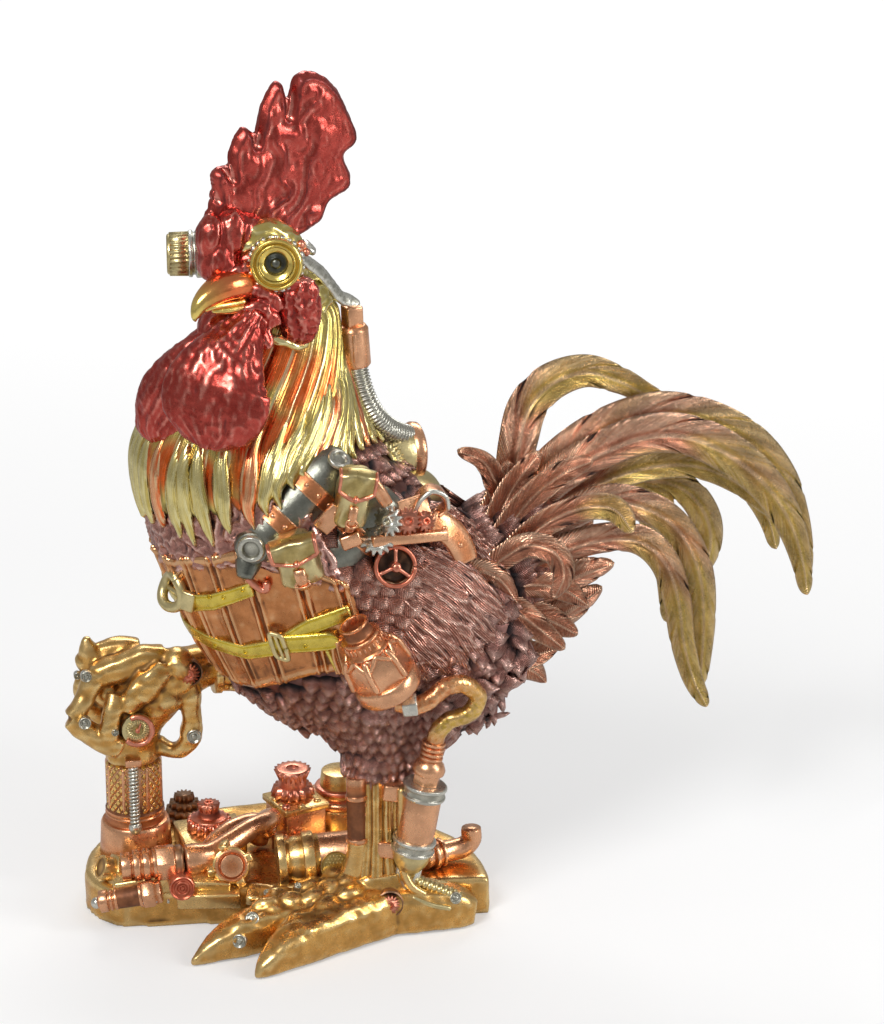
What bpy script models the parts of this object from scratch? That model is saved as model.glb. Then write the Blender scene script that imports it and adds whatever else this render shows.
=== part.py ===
"""Steampunk rooster figurine, cast in one piece with its machinery and its base.

The rooster faces -X and is seen from -Y. The origin is the middle of the base's underside.
Sizes are in metres. The figure keeps its proportions as shares of its own height, so its
points are written in three-hundredths of that height, which are millimetres at 300 mm.
"""
import math

import bmesh
import bpy
import numpy as np
from mathutils import Euler, Vector

FIGURE_HEIGHT = 0.300
BASE_LENGTH = 0.141
BASE_DEPTH = 0.072
BASE_HEIGHT = 0.014
BASE_CHAMFER = 0.002
BASE_LEFT_CORNER = 0.020
BASE_RIGHT_CORNER = 0.004
# The front edge draws in towards the left, and the back is one bow, leaner on the right.
BASE_DRAW = 0.0055
BASE_LEFT_BOW = 0.85
BASE_RIGHT_BOW = 1.7
BASE_MIDDLE_X = -0.0045
BASE_MIDDLE_Y = 0.004
COLUMN_RADIUS = 0.0100
COLLAR_RADIUS = 0.0125
COLLAR_HEIGHT = 0.012
LEG_RADIUS = 0.0090
HOSE_RADIUS = 0.0042

UNIT = FIGURE_HEIGHT / 300.0
PLATE_TOP = BASE_HEIGHT / UNIT
# How deep a fitting's foot sits in what carries it, and the soles' height over the ground.
SINK = 2.0
SOLE_GAP = 0.25
AXIS_Y = Vector((0, 1, 0))
AXIS_Z = Vector((0, 0, 1))

# Left and right edge of each slice through the trunk, and its half width: x, z, x, z, y.
TRUNK_SLICES = [
    (-2, 64, 58, 58, 16), (-14, 76, 70, 64, 28), (-27, 90, 74, 68, 33), (-36, 108, 75, 82, 37),
    (-43, 127, 73, 102, 39), (-47, 142, 66, 122, 40), (-49.5, 158, 52, 142, 39),
    (-48.5, 171, 39, 158, 36), (-43, 182, 27, 171, 31), (-32, 192, 21, 184, 26),
    (-24, 201, 17.5, 196, 21.5), (-17, 212, 15.5, 209, 18), (-12, 224, 14, 222, 15),
]
TRUNK_SIDES = 16
# The corset's foot and head and its belts, counted along the slices on the breast, how much
# they climb towards the back, and how far they stand out.
CORSET_FOOT = 1.85
CORSET_HEAD = 4.45
BELTS = (2.75, 3.7)
WAIST_CLIMB = 1.45
BELT_HALF = 0.16
HACKLE_BREAST = 5.3
HACKLE_BACK = 7.9
PLATING = 2.2
STRAP = 1.8


def curve(keys, count):
    """Values along a smooth curve through the keys, each a tuple of numbers."""
    keys = np.array(keys, dtype=float)
    last = len(keys) - 1
    before, after = 2 * keys[0] - keys[1], 2 * keys[-1] - keys[-2]
    padded = np.vstack([before, keys, after])
    values = []
    for step in range(count):
        along = last * step / (count - 1)
        first = min(int(along), last - 1)
        t = along - first
        a, b, c, d = padded[first:first + 4]
        bend = (2 * a - 5 * b + 4 * c - d) * t * t + (3 * b - a - 3 * c + d) * t ** 3
        values.append(0.5 * (2 * b + (c - a) * t + bend))
    return values


def skin(bm, rings):
    """One closed shell through rings of points. A ring of one point closes to a tip."""
    loops = [[bm.verts.new(Vector(point) * UNIT) for point in ring] for ring in rings]
    for near, far in zip(loops, loops[1:]):
        for i in range(max(len(near), len(far))):
            j = i + 1
            corners = (near[i % len(near)], near[j % len(near)],
                       far[j % len(far)], far[i % len(far)])
            bm.faces.new(list(dict.fromkeys(corners)))
    for end in (loops[0], loops[-1]):
        if len(end) > 2:
            bm.faces.new(end)


def sweep(bm, keys, count, sides, depth_way=AXIS_Y, floor=None, offset=0.5):
    """A tube through keys of x, y, z, half width and half depth. A width of 0 is a tip."""
    rows = curve(keys, count)
    rings = []
    for i, row in enumerate(rows):
        here = Vector(row[:3])
        ahead = Vector(rows[min(i + 1, count - 1)][:3])
        behind = Vector(rows[max(i - 1, 0)][:3])
        tangent = (ahead - behind).normalized()
        across = tangent.cross(depth_way).normalized()
        through = across.cross(tangent)
        width, depth = row[3], row[4]
        ring = []
        for k in range(sides):
            angle = 2 * math.pi * (k + offset) / sides
            point = here + across * width * math.cos(angle) + through * depth * math.sin(angle)
            if floor is not None:
                point.z = max(point.z, floor)
            ring.append(point)
        rings.append(ring if width > 0.05 else [here])
    skin(bm, rings)


def lathe(bm, foot, axis, profile, sides, tooth=0.0):
    """A turned piece on a foot point, from pairs of height and radius. Teeth cut it in."""
    turn = AXIS_Z.rotation_difference(Vector(axis))
    rings = []
    for height, radius in profile:
        ring = []
        for k in range(sides):
            angle = 2 * math.pi * (k + 0.5) / sides
            reach = radius - (tooth if k % 2 else 0.0)
            ring.append(Vector((reach * math.cos(angle), reach * math.sin(angle), height)))
        rings.append([Vector(foot) + turn @ point for point in ring])
    skin(bm, rings)


def block(bm, middle, size, turn=(0, 0, 0)):
    """A box with its middle, its full sizes and its turns in degrees."""
    rotation = Euler([math.radians(angle) for angle in turn])
    corners = [(-1, -1), (1, -1), (1, 1), (-1, 1)]
    rings = []
    for end in (-1, 1):
        ring = []
        for side_x, side_y in corners:
            corner = Vector((side_x * size[0], side_y * size[1], end * size[2])) / 2
            corner.rotate(rotation)
            ring.append(Vector(middle) + corner)
        rings.append(ring)
    skin(bm, rings)


def blob(bm, middle, radii, turn=(0, 0, 0), sides=10, rows=7):
    """An egg shape with its middle, its three radii and its turns in degrees."""
    rotation = Euler([math.radians(angle) for angle in turn])
    rings = []
    for row in range(rows):
        fall = math.pi * row / (rows - 1)
        ring = []
        for k in range(sides):
            angle = 2 * math.pi * k / sides
            point = Vector((radii[0] * math.sin(fall) * math.cos(angle),
                            radii[1] * math.sin(fall) * math.sin(angle),
                            radii[2] * math.cos(fall)))
            point.rotate(rotation)
            ring.append(Vector(middle) + point)
        rings.append(ring if 0 < row < rows - 1 else ring[:1])
    skin(bm, rings)


def plate(bm, outline, place, thickness, rim):
    """A flat piece with an outline, placed by a function of the two and the depth."""
    middle = np.mean(outline, axis=0)
    inner = [middle + (np.array(point) - middle) * rim for point in outline]
    layers = ((inner, -thickness / 2), (outline, 0.0), (inner, thickness / 2))
    skin(bm, [[place(point[0], point[1], depth) for point in ring] for ring, depth in layers])


def climb(degrees):
    """How far the corset and its belts have climbed along the slices at these degrees."""
    share = min(max((abs(degrees % 360 - 180) - 27) / 72, 0), 1)
    return WAIST_CLIMB * share * share * (3 - 2 * share)


def trunk_ring(along, grow=0.0, sides=TRUNK_SIDES):
    """One ring round the trunk. The figure along counts slices, and grow widens it."""
    first = min(int(along), len(TRUNK_SLICES) - 2)
    part = along - first
    row = [a + (b - a) * part for a, b in zip(TRUNK_SLICES[first], TRUNK_SLICES[first + 1])]
    front, back = Vector((row[0], 0, row[1])), Vector((row[2], 0, row[3]))
    middle, half = (front + back) / 2, (back - front) / 2
    half *= 1 + grow / half.length
    ring = []
    for k in range(sides):
        angle = 2 * math.pi * k / sides
        ring.append(middle + half * math.cos(angle)
                    + AXIS_Y * (row[4] + grow) * math.sin(angle))
    return ring


def on_trunk(along, degrees, out=0.0):
    """A point on the trunk and its outward direction. 180 degrees is the breast."""
    angle = math.radians(degrees)
    ring = trunk_ring(along, 0.0, 4)
    middle = (ring[0] + ring[2]) / 2
    to_back, to_side = ring[0] - middle, ring[1] - middle
    point = middle + to_back * math.cos(angle) + to_side * math.sin(angle)
    outward = to_back.normalized() * math.cos(angle) / to_back.length
    outward += to_side.normalized() * math.sin(angle) / to_side.length
    outward.normalize()
    return point + outward * out, outward


def waist_ring(along, grow):
    """One ring round the trunk that climbs to the back with the corset."""
    ring = []
    for k in range(TRUNK_SIDES):
        degrees = 360 * k / TRUNK_SIDES
        ring.append(on_trunk(along + climb(degrees), degrees, grow)[0])
    return ring


def carve(name, bm, colour):
    """A hidden sub-part, which the casting takes in."""
    bmesh.ops.recalc_face_normals(bm, faces=bm.faces)
    bmesh.ops.triangulate(bm, faces=bm.faces)
    mesh = bpy.data.meshes.new(name)
    bm.to_mesh(mesh)
    bm.free()
    mesh.materials.append(colour)
    form = bpy.data.objects.new(name, mesh)
    form.hide_render = True
    form.display_type = 'WIRE'
    bpy.data.collections["sub_parts"].objects.link(form)


def bronze(name, colour, roughness):
    """A metallic paint."""
    paint = bpy.data.materials.new(name)
    paint.use_nodes = True
    shader = paint.node_tree.nodes["Principled BSDF"]
    shader.inputs["Base Color"].default_value = (*colour, 1.0)
    shader.inputs["Roughness"].default_value = roughness
    shader.inputs["Metallic"].default_value = 0.9
    return paint


def base_outline(inset):
    """The base's outline: a straight front between two corners and a broad bow behind."""
    half_length = BASE_LENGTH / 2 - inset
    half_depth = BASE_DEPTH / 2 - inset
    outline = []
    for side_x, radius, start, draw in ((-1, BASE_LEFT_CORNER, 180, BASE_DRAW),
                                        (1, BASE_RIGHT_CORNER, 270, 0)):
        for step in range(5):
            angle = math.radians(start + 90 * step / 4)
            outline.append((side_x * (half_length - radius) + radius * math.cos(angle),
                            radius - half_depth + draw + radius * math.sin(angle)))
    bow_foot = outline[0][1]
    for step in range(11):
        angle = math.pi * step / 11
        lean = BASE_RIGHT_BOW if step < 6 else BASE_LEFT_BOW
        outline.append((half_length * math.cos(angle),
                        bow_foot + (half_depth - bow_foot) * math.sin(angle) ** lean))
    return [((x + BASE_MIDDLE_X) / UNIT, (y + BASE_MIDDLE_Y) / UNIT) for x, y in outline]


def base_plate(paint):
    """The base, chamfered round its top."""
    bm = bmesh.new()
    layers = ((0.0, 0.0), (0.0, BASE_HEIGHT - BASE_CHAMFER), (BASE_CHAMFER, BASE_HEIGHT))
    skin(bm, [[(x, y, height / UNIT) for x, y in base_outline(inset)] for inset, height in layers])
    carve("base_plate", bm, paint)


def standing_foot(paint):
    """The foot over the front of the base, its claws on the ground before it."""
    bm = bmesh.new()
    far_toe = [(24, -30, 9, 9, 10), (4, -38, 9, 7, 9), (-14, -44, 8, 7, 9),
               (-28, -50, 7, 6, 8), (-42, -57.4, 1, 0, 0)]
    near_toe = [(30, -34, 9, 10, 10), (14, -46, 9, 8, 10), (-2, -56, 8, 7, 9),
                (-11, -62, 6, 5.5, 7), (-21, -70.3, 1, 0, 0)]
    heel_toe = [(22, -36, 9, 10, 10), (38, -38, 8, 8, 9), (50, -38, 6, 7, 7),
                (58, -37, 5, 3.5, 5)]
    for toe in (far_toe, near_toe, heel_toe):
        sweep(bm, toe, 6, 7, AXIS_Z, floor=SOLE_GAP)
    for x, y, z in ((-20, -48, 13.5), (-7, -58, 13), (4, -44, 16), (44, -43, 14)):
        lathe(bm, (x, y, z), (0, -0.8, 0.6), ((-4, 2.4), (2, 2.2)), 5)
    lathe(bm, (28, -41, 13), (0, -1, 0.15), ((-3, 4.6), (3.5, 4.6)), 12, tooth=0.9)
    block(bm, (-2, -34, 13), (22, 8, 8), (0, 12, -16))
    block(bm, (12, -38, 16), (12, 7, 7), (0, -20, -20))
    carve("standing_foot", bm, paint)


def standing_leg(paint):
    """The leg, fluted all round, with a pipe down its side."""
    bm = bmesh.new()
    radius = LEG_RADIUS / UNIT
    lathe(bm, (25.5, -29, 6), (0.01, 0.16, 1),
          ((0, radius + 4), (10, radius + 1.5), (18, radius), (38, radius), (48, radius + 4)),
          12, tooth=1.8)
    lathe(bm, (19, -31, 20), (0, 0.13, 1), ((0, 3), (4, 4.6), (31, 4.4)), 7)
    carve("standing_leg", bm, paint)


def trunk(paint):
    """Belly and breast in their belted corset, with the rump and both thighs."""
    bm = bmesh.new()
    steps = [(CORSET_FOOT, 0), (CORSET_FOOT, PLATING)]
    for belt in BELTS:
        steps += [(belt - BELT_HALF, PLATING), (belt - BELT_HALF, PLATING + STRAP),
                  (belt + BELT_HALF, PLATING + STRAP), (belt + BELT_HALF, PLATING)]
    steps += [(CORSET_HEAD, PLATING), (CORSET_HEAD, 0)]
    skin(bm, [trunk_ring(0), trunk_ring(1)] + [waist_ring(along, grow) for along, grow in steps]
         + [trunk_ring(6.3), trunk_ring(7.5), trunk_ring(9)])
    sweep(bm, [(48, 0, 104, 30, 32), (66, -1, 118, 25, 26), (82, -3, 132, 16, 18),
               (94, -4, 144, 8, 10)], 5, 10)
    sweep(bm, [(30, -9, 84, 36, 27), (30, -13, 68, 32, 25), (28, -17, 57, 26, 20),
               (29, -21, 48, 17, 16), (28, -23, 39, 11, 11)], 5, 12)
    sweep(bm, [(24, 12, 92, 26, 24), (4, 15, 84, 19, 20), (-12, 15, 80, 11, 13),
               (-22, 14, 82, 7, 8)], 4, 8)
    carve("trunk", bm, paint)


def scale_feather(bm, root, outward, down, length):
    """A small feather: a ridged leaf with its root in the body and its tip standing off."""
    down = (down - outward * down.dot(outward)).normalized()
    across = outward.cross(down)
    top = root - down * length * 0.5 - outward * 0.6
    tip = root + down * length * 0.6 + outward * 1.6
    left = root + across * length * 0.5 + outward * 0.2
    right = root - across * length * 0.5 + outward * 0.2
    skin(bm, [[root + outward * 1.9], [top, left, tip, right], [root - outward * SINK]])


def body_feathers(paint):
    """Scale feathers over breast, belly and thigh."""
    bm = bmesh.new()
    for row in range(2):
        for step in range(6 + row):
            degrees = 180 + (step - 2.5 - row / 2) * 19
            root, outward = on_trunk(5.1 - 0.45 * row, degrees)
            scale_feather(bm, root, outward, -AXIS_Z, 13)
    for height, reach, middle_y in ((72, 31, -12), (62, 27, -15), (52, 20, -19)):
        for step in range(8):
            angle = math.radians(150 + (step + height % 20 / 20) * 26)
            outward = Vector((math.cos(angle), 0.8 * math.sin(angle), -0.35)).normalized()
            root = Vector((30 + reach * math.cos(angle), middle_y + 0.76 * reach * math.sin(angle),
                           height))
            scale_feather(bm, root, outward, -AXIS_Z, 13)
    carve("body_feathers", bm, paint)


def hackle_edge(degrees):
    """How far the hackle reaches along the slices: low on the breast, high on the back."""
    share = min(max((abs(degrees % 360 - 180) - 35) / 90, 0), 1)
    return HACKLE_BREAST + (HACKLE_BACK - HACKLE_BREAST) * share * share * (3 - 2 * share)


def hackle(paint):
    """Locks of neck feathers: flutes that end in points over breast and back."""
    bm = bmesh.new()
    locks = 14
    sides = 2 * locks
    rings = []
    steps = 5
    for step in range(steps):
        share = step / (steps - 1)
        ring = []
        for k in range(sides):
            degrees = 360 * k / sides
            point_lock = k % 2 == 0
            low = hackle_edge(degrees) + (0.0 if point_lock else 0.8)
            along = low + (11.6 - low) * share
            raised = 3.0 if point_lock else 0.8
            out = raised * (1 - 0.45 * share) if step else 0.4
            ring.append(on_trunk(along, degrees, out)[0])
        rings.append(ring)
    skin(bm, [[on_trunk(7.5, 0, -36)[0]]] + rings)
    carve("hackle", bm, paint)


def corset(paint):
    """The ribs of the corset and the buckles of its belts."""
    bm = bmesh.new()
    for along, degrees, size in ((BELTS[0], 243, 11), (BELTS[1], 202, 13)):
        middle, outward = on_trunk(along + climb(degrees), degrees, PLATING + STRAP)
        lathe(bm, middle, outward, ((-3, size / 2), (1.5, size / 2)), 4)
    middle, outward = on_trunk(BELTS[1], 188, PLATING + STRAP)
    lathe(bm, middle, outward, ((-3, 7.0), (1.8, 7.0)), 8)
    for step in range(6):
        degrees = 141 + step * 21
        lower, outward = on_trunk(CORSET_FOOT + climb(degrees), degrees, PLATING - 0.6)
        upper = on_trunk(CORSET_HEAD + climb(degrees), degrees, PLATING - 0.6)[0]
        sweep(bm, [(*lower, 1.3, 1.4), (*upper, 1.3, 1.4)], 2, 4, outward)
    carve("corset", bm, paint)


def long_feather(bm, keys, count, depth_way=AXIS_Y):
    """A long feather: a flattened sweep with a ridge."""
    sweep(bm, keys, count, 4, depth_way, offset=0.0)


def wing(name, side, feathers, paint):
    """A folded wing: shoulder scales above, long feathers running down and back."""
    bm = bmesh.new()
    blob(bm, (41, side * 29, 114), (36, 12, 23), (0, 32, 0), 9, 5)
    for row in range(feathers):
        share = row / (feathers - 1)
        root = Vector((40 - 14 * share, side * (38 - 3 * share), 139 - 31 * share))
        tip = Vector((73 - 24 * share, side * (25 + 5 * share), 119 - 31 * share))
        bulge = (root + tip) / 2 + Vector((0, side * 6, 2))
        long_feather(bm, [(*root, 3.5, 3.5), (*bulge, 6.5, 4.0), (*tip, 0, 0)], 4)
    for step in range(5):
        root = Vector((14 + 6 * step, side * 40, 130 - 9 * (step % 2) - 1.5 * step))
        scale_feather(bm, root, AXIS_Y * side, Vector((0.8, 0, -0.6)), 14)
    carve(name, bm, paint)


def tail(paint):
    """The sickle feathers, from the rump over and down, and the curls at their root."""
    sickles = [
        [(72, 0, 134, 6, 5), (78, 0, 162, 6.5, 4), (89, 1, 184, 7, 3.5), (104, 1, 188, 6, 3),
         (119, 2, 180, 5, 3), (138, 2, 170, 4, 2.5)],
        [(74, -3, 134, 7, 5), (92, -3, 157, 7, 4), (118, -3, 171.5, 7, 4), (146, -2, 169, 6.5, 4),
         (170, -2, 151, 5.5, 3.5), (179, -2, 136, 4, 3), (183, -2, 120, 0, 0)],
        [(80, -8, 140, 7, 5), (98, -8, 157, 7, 4), (126, -8, 168, 6.5, 4), (154, -8, 156, 6.5, 4),
         (174, -8, 132, 5.5, 3.5), (181, -8, 116, 4, 3), (184, -8, 103, 0, 0)],
        [(88, -2, 141, 6, 4), (108, -2, 149, 6, 3.5), (136, -1, 153, 5.5, 3),
         (158, 0, 145, 4.5, 3), (172, 0, 131, 0, 0)],
        [(118, 8, 148, 6, 4), (150, 10, 146, 5, 3), (166, 12, 134, 4, 3), (177, 14, 114, 0, 0)],
        [(92, 9, 138, 6, 4), (128, 11, 144, 5.5, 3.5), (146, 13, 132, 5, 3),
         (152, 15, 117, 4, 3), (149, 16, 104, 0, 0)],
        [(88, 8, 139, 5, 4), (110, 8, 142, 5, 3), (136, 12, 134, 0, 0)],
        [(82, -14, 134, 6, 4), (104, -16, 146, 5.5, 4), (127, -17, 140, 5, 3.5),
         (140, -17, 120, 5, 3.5), (144, -18, 98, 4, 3), (142, -18, 78, 0, 0)],
        [(82, -18, 126, 6, 4), (104, -20, 134, 5.5, 4), (124, -22, 131, 5.5, 3.5),
         (133, -23, 112, 5, 3.5), (136, -23, 92, 4.5, 3), (143, -24, 71, 0, 0)],
        [(74, -18, 130, 5, 4), (88, -22, 144, 5.5, 3.5), (104, -24, 148, 5, 3.5),
         (116, -26, 138, 0, 0)],
        [(76, -3, 136, 6, 4), (71, -5, 152, 5, 3.5), (65, -7, 161, 4, 3), (56, -8, 165, 0, 0)],
        [(80, 16, 132, 6, 4), (104, 18, 143, 5.5, 4), (126, 20, 134, 5, 3.5),
         (136, 20, 110, 4.5, 3), (138, 20, 84, 0, 0)],
    ]
    bm = bmesh.new()
    for keys in sickles:
        long_feather(bm, keys, 2 + len(keys))
    carve("tail", bm, paint)


def saddle(paint):
    """Curled feathers that hang from the rump to both sides."""
    curls = [
        [(58, 24, 124, 5, 4), (74, 24, 136, 5, 4), (87, 25, 132, 4.5, 3), (88, 28, 115, 0, 0)],
        [(70, 18, 112, 6, 4), (90, 19, 118, 5, 3.5), (110, 20, 124, 0, 0)],
        [(70, 14, 98, 6, 5), (90, 14, 103, 5, 4), (106, 14, 114, 0, 0)],
        [(58, 24, 112, 6, 5), (76, 22, 110, 5.5, 4), (92, 20, 94, 0, 0)],
        [(56, 24, 104, 6, 5), (66, 22, 100, 5.5, 4), (77, 20, 88, 0, 0)],
        [(52, 30, 126, 5, 4), (66, 29, 126, 5, 3.5), (75, 28, 114, 0, 0)],
        [(52, 20, 90, 7, 6), (64, 18, 88, 6, 5), (76, 16, 80, 0, 0)],
    ]
    bm = bmesh.new()
    for keys in curls:
        for side in (-1, 1):
            long_feather(bm, [(x, side * y, z, w, d) for x, y, z, w, d in keys], 5)
    carve("saddle", bm, paint)


def on_comb(along, up, depth):
    """A point in the comb's blade, which is turned towards the viewer in front."""
    turn = math.radians(23.5)
    return Vector((-28 + along * math.cos(turn) - depth * math.sin(turn),
                   -14 + along * math.sin(turn) + depth * math.cos(turn), up))


def head(paint):
    """The head with its beak, ear lobes and both wattles."""
    bm = bmesh.new()
    blob(bm, (-6, -4, 233), (15, 14, 13), (0, 0, 20), 10, 7)
    blob(bm, (-14, -13, 220), (9, 8, 8), (0, 20, 30), 7, 5)
    sweep(bm, [(-8, -13, 229, 8, 7), (-17, -20, 229.5, 6.5, 5.5), (-26, -26, 227, 4, 4),
               (-32, -30, 221.5, 0, 0)], 5, 7, AXIS_Z)
    sweep(bm, [(-8, -13, 222, 6, 3), (-18, -21, 221.5, 4.5, 2.4), (-27, -27, 221, 1.5, 1.2)],
          3, 5, AXIS_Z)
    blob(bm, (4, -19, 220.5), (6.5, 4, 12), (0, 8, 0), 7, 5)
    blob(bm, (6, 12, 220), (6.5, 4, 12), (0, 8, 0), 6, 5)
    carve("head", bm, paint)


def wattles(paint):
    """The two wattles, joined at the throat, and the skin above them."""
    bm = bmesh.new()
    sweep(bm, [(-13, -20, 220, 8, 6), (-22, -28, 208, 13, 7), (-27, -34, 195, 17, 7.5),
               (-29, -37, 185, 12, 6), (-31, -38, 179, 4, 3)], 6, 8)
    sweep(bm, [(-16, -14, 217, 7, 6), (-30, -18, 203, 7, 8), (-38, -16, 189, 10, 8),
               (-43.5, -14, 178, 8, 6), (-44.5, -14, 172, 3, 3)], 6, 7)
    blob(bm, (-20, -14, 200), (18, 14, 15), (0, -20, 0), 8, 5)
    carve("wattles", bm, paint)


def comb(paint):
    """The comb: one blade with six teeth in front and two lobes behind."""
    outline = [
        (-1.5, 233), (0, 244.5), (0.9, 252.5), (3.2, 252.5), (3.1, 259.5), (5.2, 258), (3.5, 265),
        (6.9, 267.8), (10.8, 264.5), (10.3, 272), (15.1, 279.9), (18.7, 278), (19.6, 274.8),
        (22.5, 286), (27.7, 293.5), (30.9, 290), (32.2, 282), (34.3, 292.5), (37.7, 296),
        (43.1, 295.5), (49.1, 290), (53.1, 283.5), (57.7, 272.5), (56.7, 268.5), (52.8, 265.3),
        (55.5, 258), (54.1, 253.5), (47.2, 250), (43.7, 244.5), (38.8, 241.9), (33.4, 243.5),
        (28, 236), (14, 232),
    ]
    bm = bmesh.new()
    plate(bm, outline, on_comb, 9, 0.93)
    for foot, top, radius in (((8, 238), (14, 274), 5.5), ((22, 246), (27, 287), 5),
                              ((34, 250), (42, 288), 6), ((36, 246), (52, 257), 5.5)):
        sweep(bm, [(*on_comb(*foot, 0), radius, radius * 1.25),
                   (*on_comb(*top, 0), radius * 0.6, radius * 0.9)], 2, 6)
    blob(bm, on_comb(4, 236, 0), (8, 8, 7), (0, 0, 23), 7, 5)
    carve("comb", bm, paint)


def goggles(paint):
    """Two stepped eyepieces and the strap round the head."""
    bm = bmesh.new()
    rim = ((-9, 8), (-2, 8), (-2, 9.4), (4, 9.2), (4.5, 6), (2.5, 4.5), (3.5, 1.5))
    lathe(bm, (-4, -20, 237), (-0.1, -0.97, 0.12), rim, 11)
    barrel = ((-2, 6), (4, 7.4), (9, 7.4), (9, 6.7), (18.5, 6.6))
    lathe(bm, (-19, 8, 232.8), (-1, 0.06, 0), barrel, 10)
    strap = [(-3, -17, 240, 3, 3.5), (8, -12, 238, 3, 3.5), (14, -1, 233, 3.2, 3),
             (12, 8, 231, 3, 3), (0, 12, 234, 3, 3), (-16, 8, 236, 3, 3)]
    sweep(bm, strap, 8, 4, AXIS_Z)
    carve("goggles", bm, paint)


def breathing_hose(paint):
    """The hose from the goggles' strap down to the round tank on the back."""
    bm = bmesh.new()
    hose = HOSE_RADIUS / UNIT
    sweep(bm, [(12, -4, 234, 3, 3), (17, -2, 222, 3, 3), (21, 1, 214, 3.4, 3.4)], 3, 5)
    lathe(bm, (24.6, 4, 190), (-0.08, -0.06, 1),
          ((0, 5.6), (18, 5.6), (19, 4.6), (28, 4.6)), 8)
    sweep(bm, [(24.6, 4, 192, hose, hose), (27, 6, 181, hose, hose), (31, 8, 171, hose, hose),
               (37, 10, 164, hose, hose), (44, 11, 160, hose, hose)], 6, 6)
    lathe(bm, (40, 8, 150), (0.15, 0.1, 1), ((-6, 9), (8, 10), (9, 11), (12, 11), (15, 7),
                                             (19, 5)), 9)
    lathe(bm, (50, 2, 134), (0.5, 0.1, 0.9), ((-4, 9), (8, 8.6)), 9)
    carve("breathing_hose", bm, paint)


def tanks_and_pouches(paint):
    """Two slanting tanks under the hackle, strapped on, and the two pouches before them."""
    bm = bmesh.new()
    long_tank, short_tank = (0.716, 0.13, 0.685), (0.7, 0.1, 0.7)
    lathe(bm, (-13.5, -33, 144), long_tank, ((-3, 8), (0, 10.2), (35, 10.2), (40, 6)), 9)
    lathe(bm, (9.7, -33, 136), short_tank, ((-3, 6), (0, 9.2), (28, 9.2), (33, 6)), 9)
    lathe(bm, (-13.5, -33.5, 143.5), (-0.35, -0.93, -0.05), ((-2, 6), (8, 5.8)), 8)
    for foot, axis, reach in (((-5.9, -31.6, 151.3), long_tank, 11.2),
                              ((5, -29.6, 161.7), long_tank, 11.2),
                              ((19.6, -31.6, 145.9), short_tank, 10.2)):
        lathe(bm, foot, axis, ((-2.8, reach), (2.8, reach)), 9)
    for middle, bag, flap, turn in (((-2, -45, 143.5), (14, 13, 18), (16.5, 11, 8), (8, -14, -6)),
                                    ((17.5, -40.5, 162.5), (11, 12, 20), (12.5, 10, 9), (6, 14, 0))):
        block(bm, middle, bag, turn)
        block(bm, Vector(middle) + Vector((0, -2, 5.5)), flap, turn)
        block(bm, Vector(middle) + Vector((0.5, -5.5, -2)), (4, 3, 14), turn)
    carve("tanks_and_pouches", bm, paint)


def shoulder_machine(paint):
    """The gear bracket on the shoulder, its handwheel and its straps."""
    bm = bmesh.new()
    block(bm, (35, -37, 147), (28, 9, 8), (0, 4, 14))
    block(bm, (44, -31, 154), (11, 9, 10), (0, 10, 10))
    block(bm, (54, -31, 142), (17, 10, 6), (20, 42, 8))
    lathe(bm, (29, -40, 151), (0.05, -1, 0.25), ((-2, 6), (3, 6)), 12, tooth=1.4)
    lathe(bm, (39, -38, 151), (0.05, -1, 0.3), ((-2, 5), (3, 5)), 12, tooth=1.3)
    wheel = Vector((31.3, -42, 137))
    facing = Vector((0.05, -0.95, 0.3))
    turn = AXIS_Z.rotation_difference(facing)
    rim = [turn @ Vector((math.cos(2 * math.pi * k / 12), math.sin(2 * math.pi * k / 12), 0))
           for k in range(12)]
    loops = [[wheel + way * reach + facing.normalized() * lift for way in rim]
             for reach, lift in ((6.2, -2), (8, -2), (8, 2), (6.2, 2))]
    lathe(bm, wheel, facing, ((-4, 2.6), (3, 2.6)), 6)
    lathe(bm, wheel - facing * 4, facing, ((-3, 7), (3.2, 7)), 8)
    for k in range(5):
        way = turn @ Vector((math.cos(2 * math.pi * k / 5), math.sin(2 * math.pi * k / 5), 0))
        end = wheel + way * 7.4
        sweep(bm, [(*wheel, 1.1, 1.3), (*end, 1.1, 1.3)], 2, 4, facing)
    verts = [[bm.verts.new(point * UNIT) for point in ring] for ring in loops]
    for near, far in zip(verts, verts[1:] + verts[:1]):
        for k in range(12):
            j = (k + 1) % 12
            bm.faces.new((near[k], near[j], far[j], far[k]))
    carve("shoulder_machine", bm, paint)


def pump(paint):
    """The copper pump at the hip, its hooked pipe and the cylinder behind the leg."""
    bm = bmesh.new()
    lathe(bm, (28, -46, 96), (-0.45, -0.1, 0.89),
          ((-6, 8.5), (-3, 11.6), (3, 11.8), (4, 10.6), (12, 9.8), (13.5, 8.2), (19, 8.2),
           (20, 5.6), (26, 5.5)), 8)
    sweep(bm, [(28, -40, 87, 4, 4), (38, -46, 87, 3.8, 3.8), (47, -45, 91.5, 3.4, 3.4),
               (54, -43, 92.6, 3.4, 3.4), (59.6, -41, 86.6, 3.4, 3.4), (56, -40, 80.4, 3.4, 3.4),
               (49, -40, 78, 3.4, 3.4), (45, -40, 72, 3.4, 3.4), (44, -40, 64, 3.6, 3.6)], 12, 6)
    lathe(bm, (36, -39, 17), (0.16, -0.01, 1),
          ((-1, 4), (10, 7), (12, 8.4), (17, 8.4), (17, 7.2), (34, 7.2), (34, 8.4), (38, 8.4),
           (38, 5.6), (44, 5.4), (50, 3.6)), 9)
    block(bm, (30, -34, 24), (12, 8, 8))
    block(bm, (34, -32, 50), (14, 8, 7))
    carve("pump", bm, paint)


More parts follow.
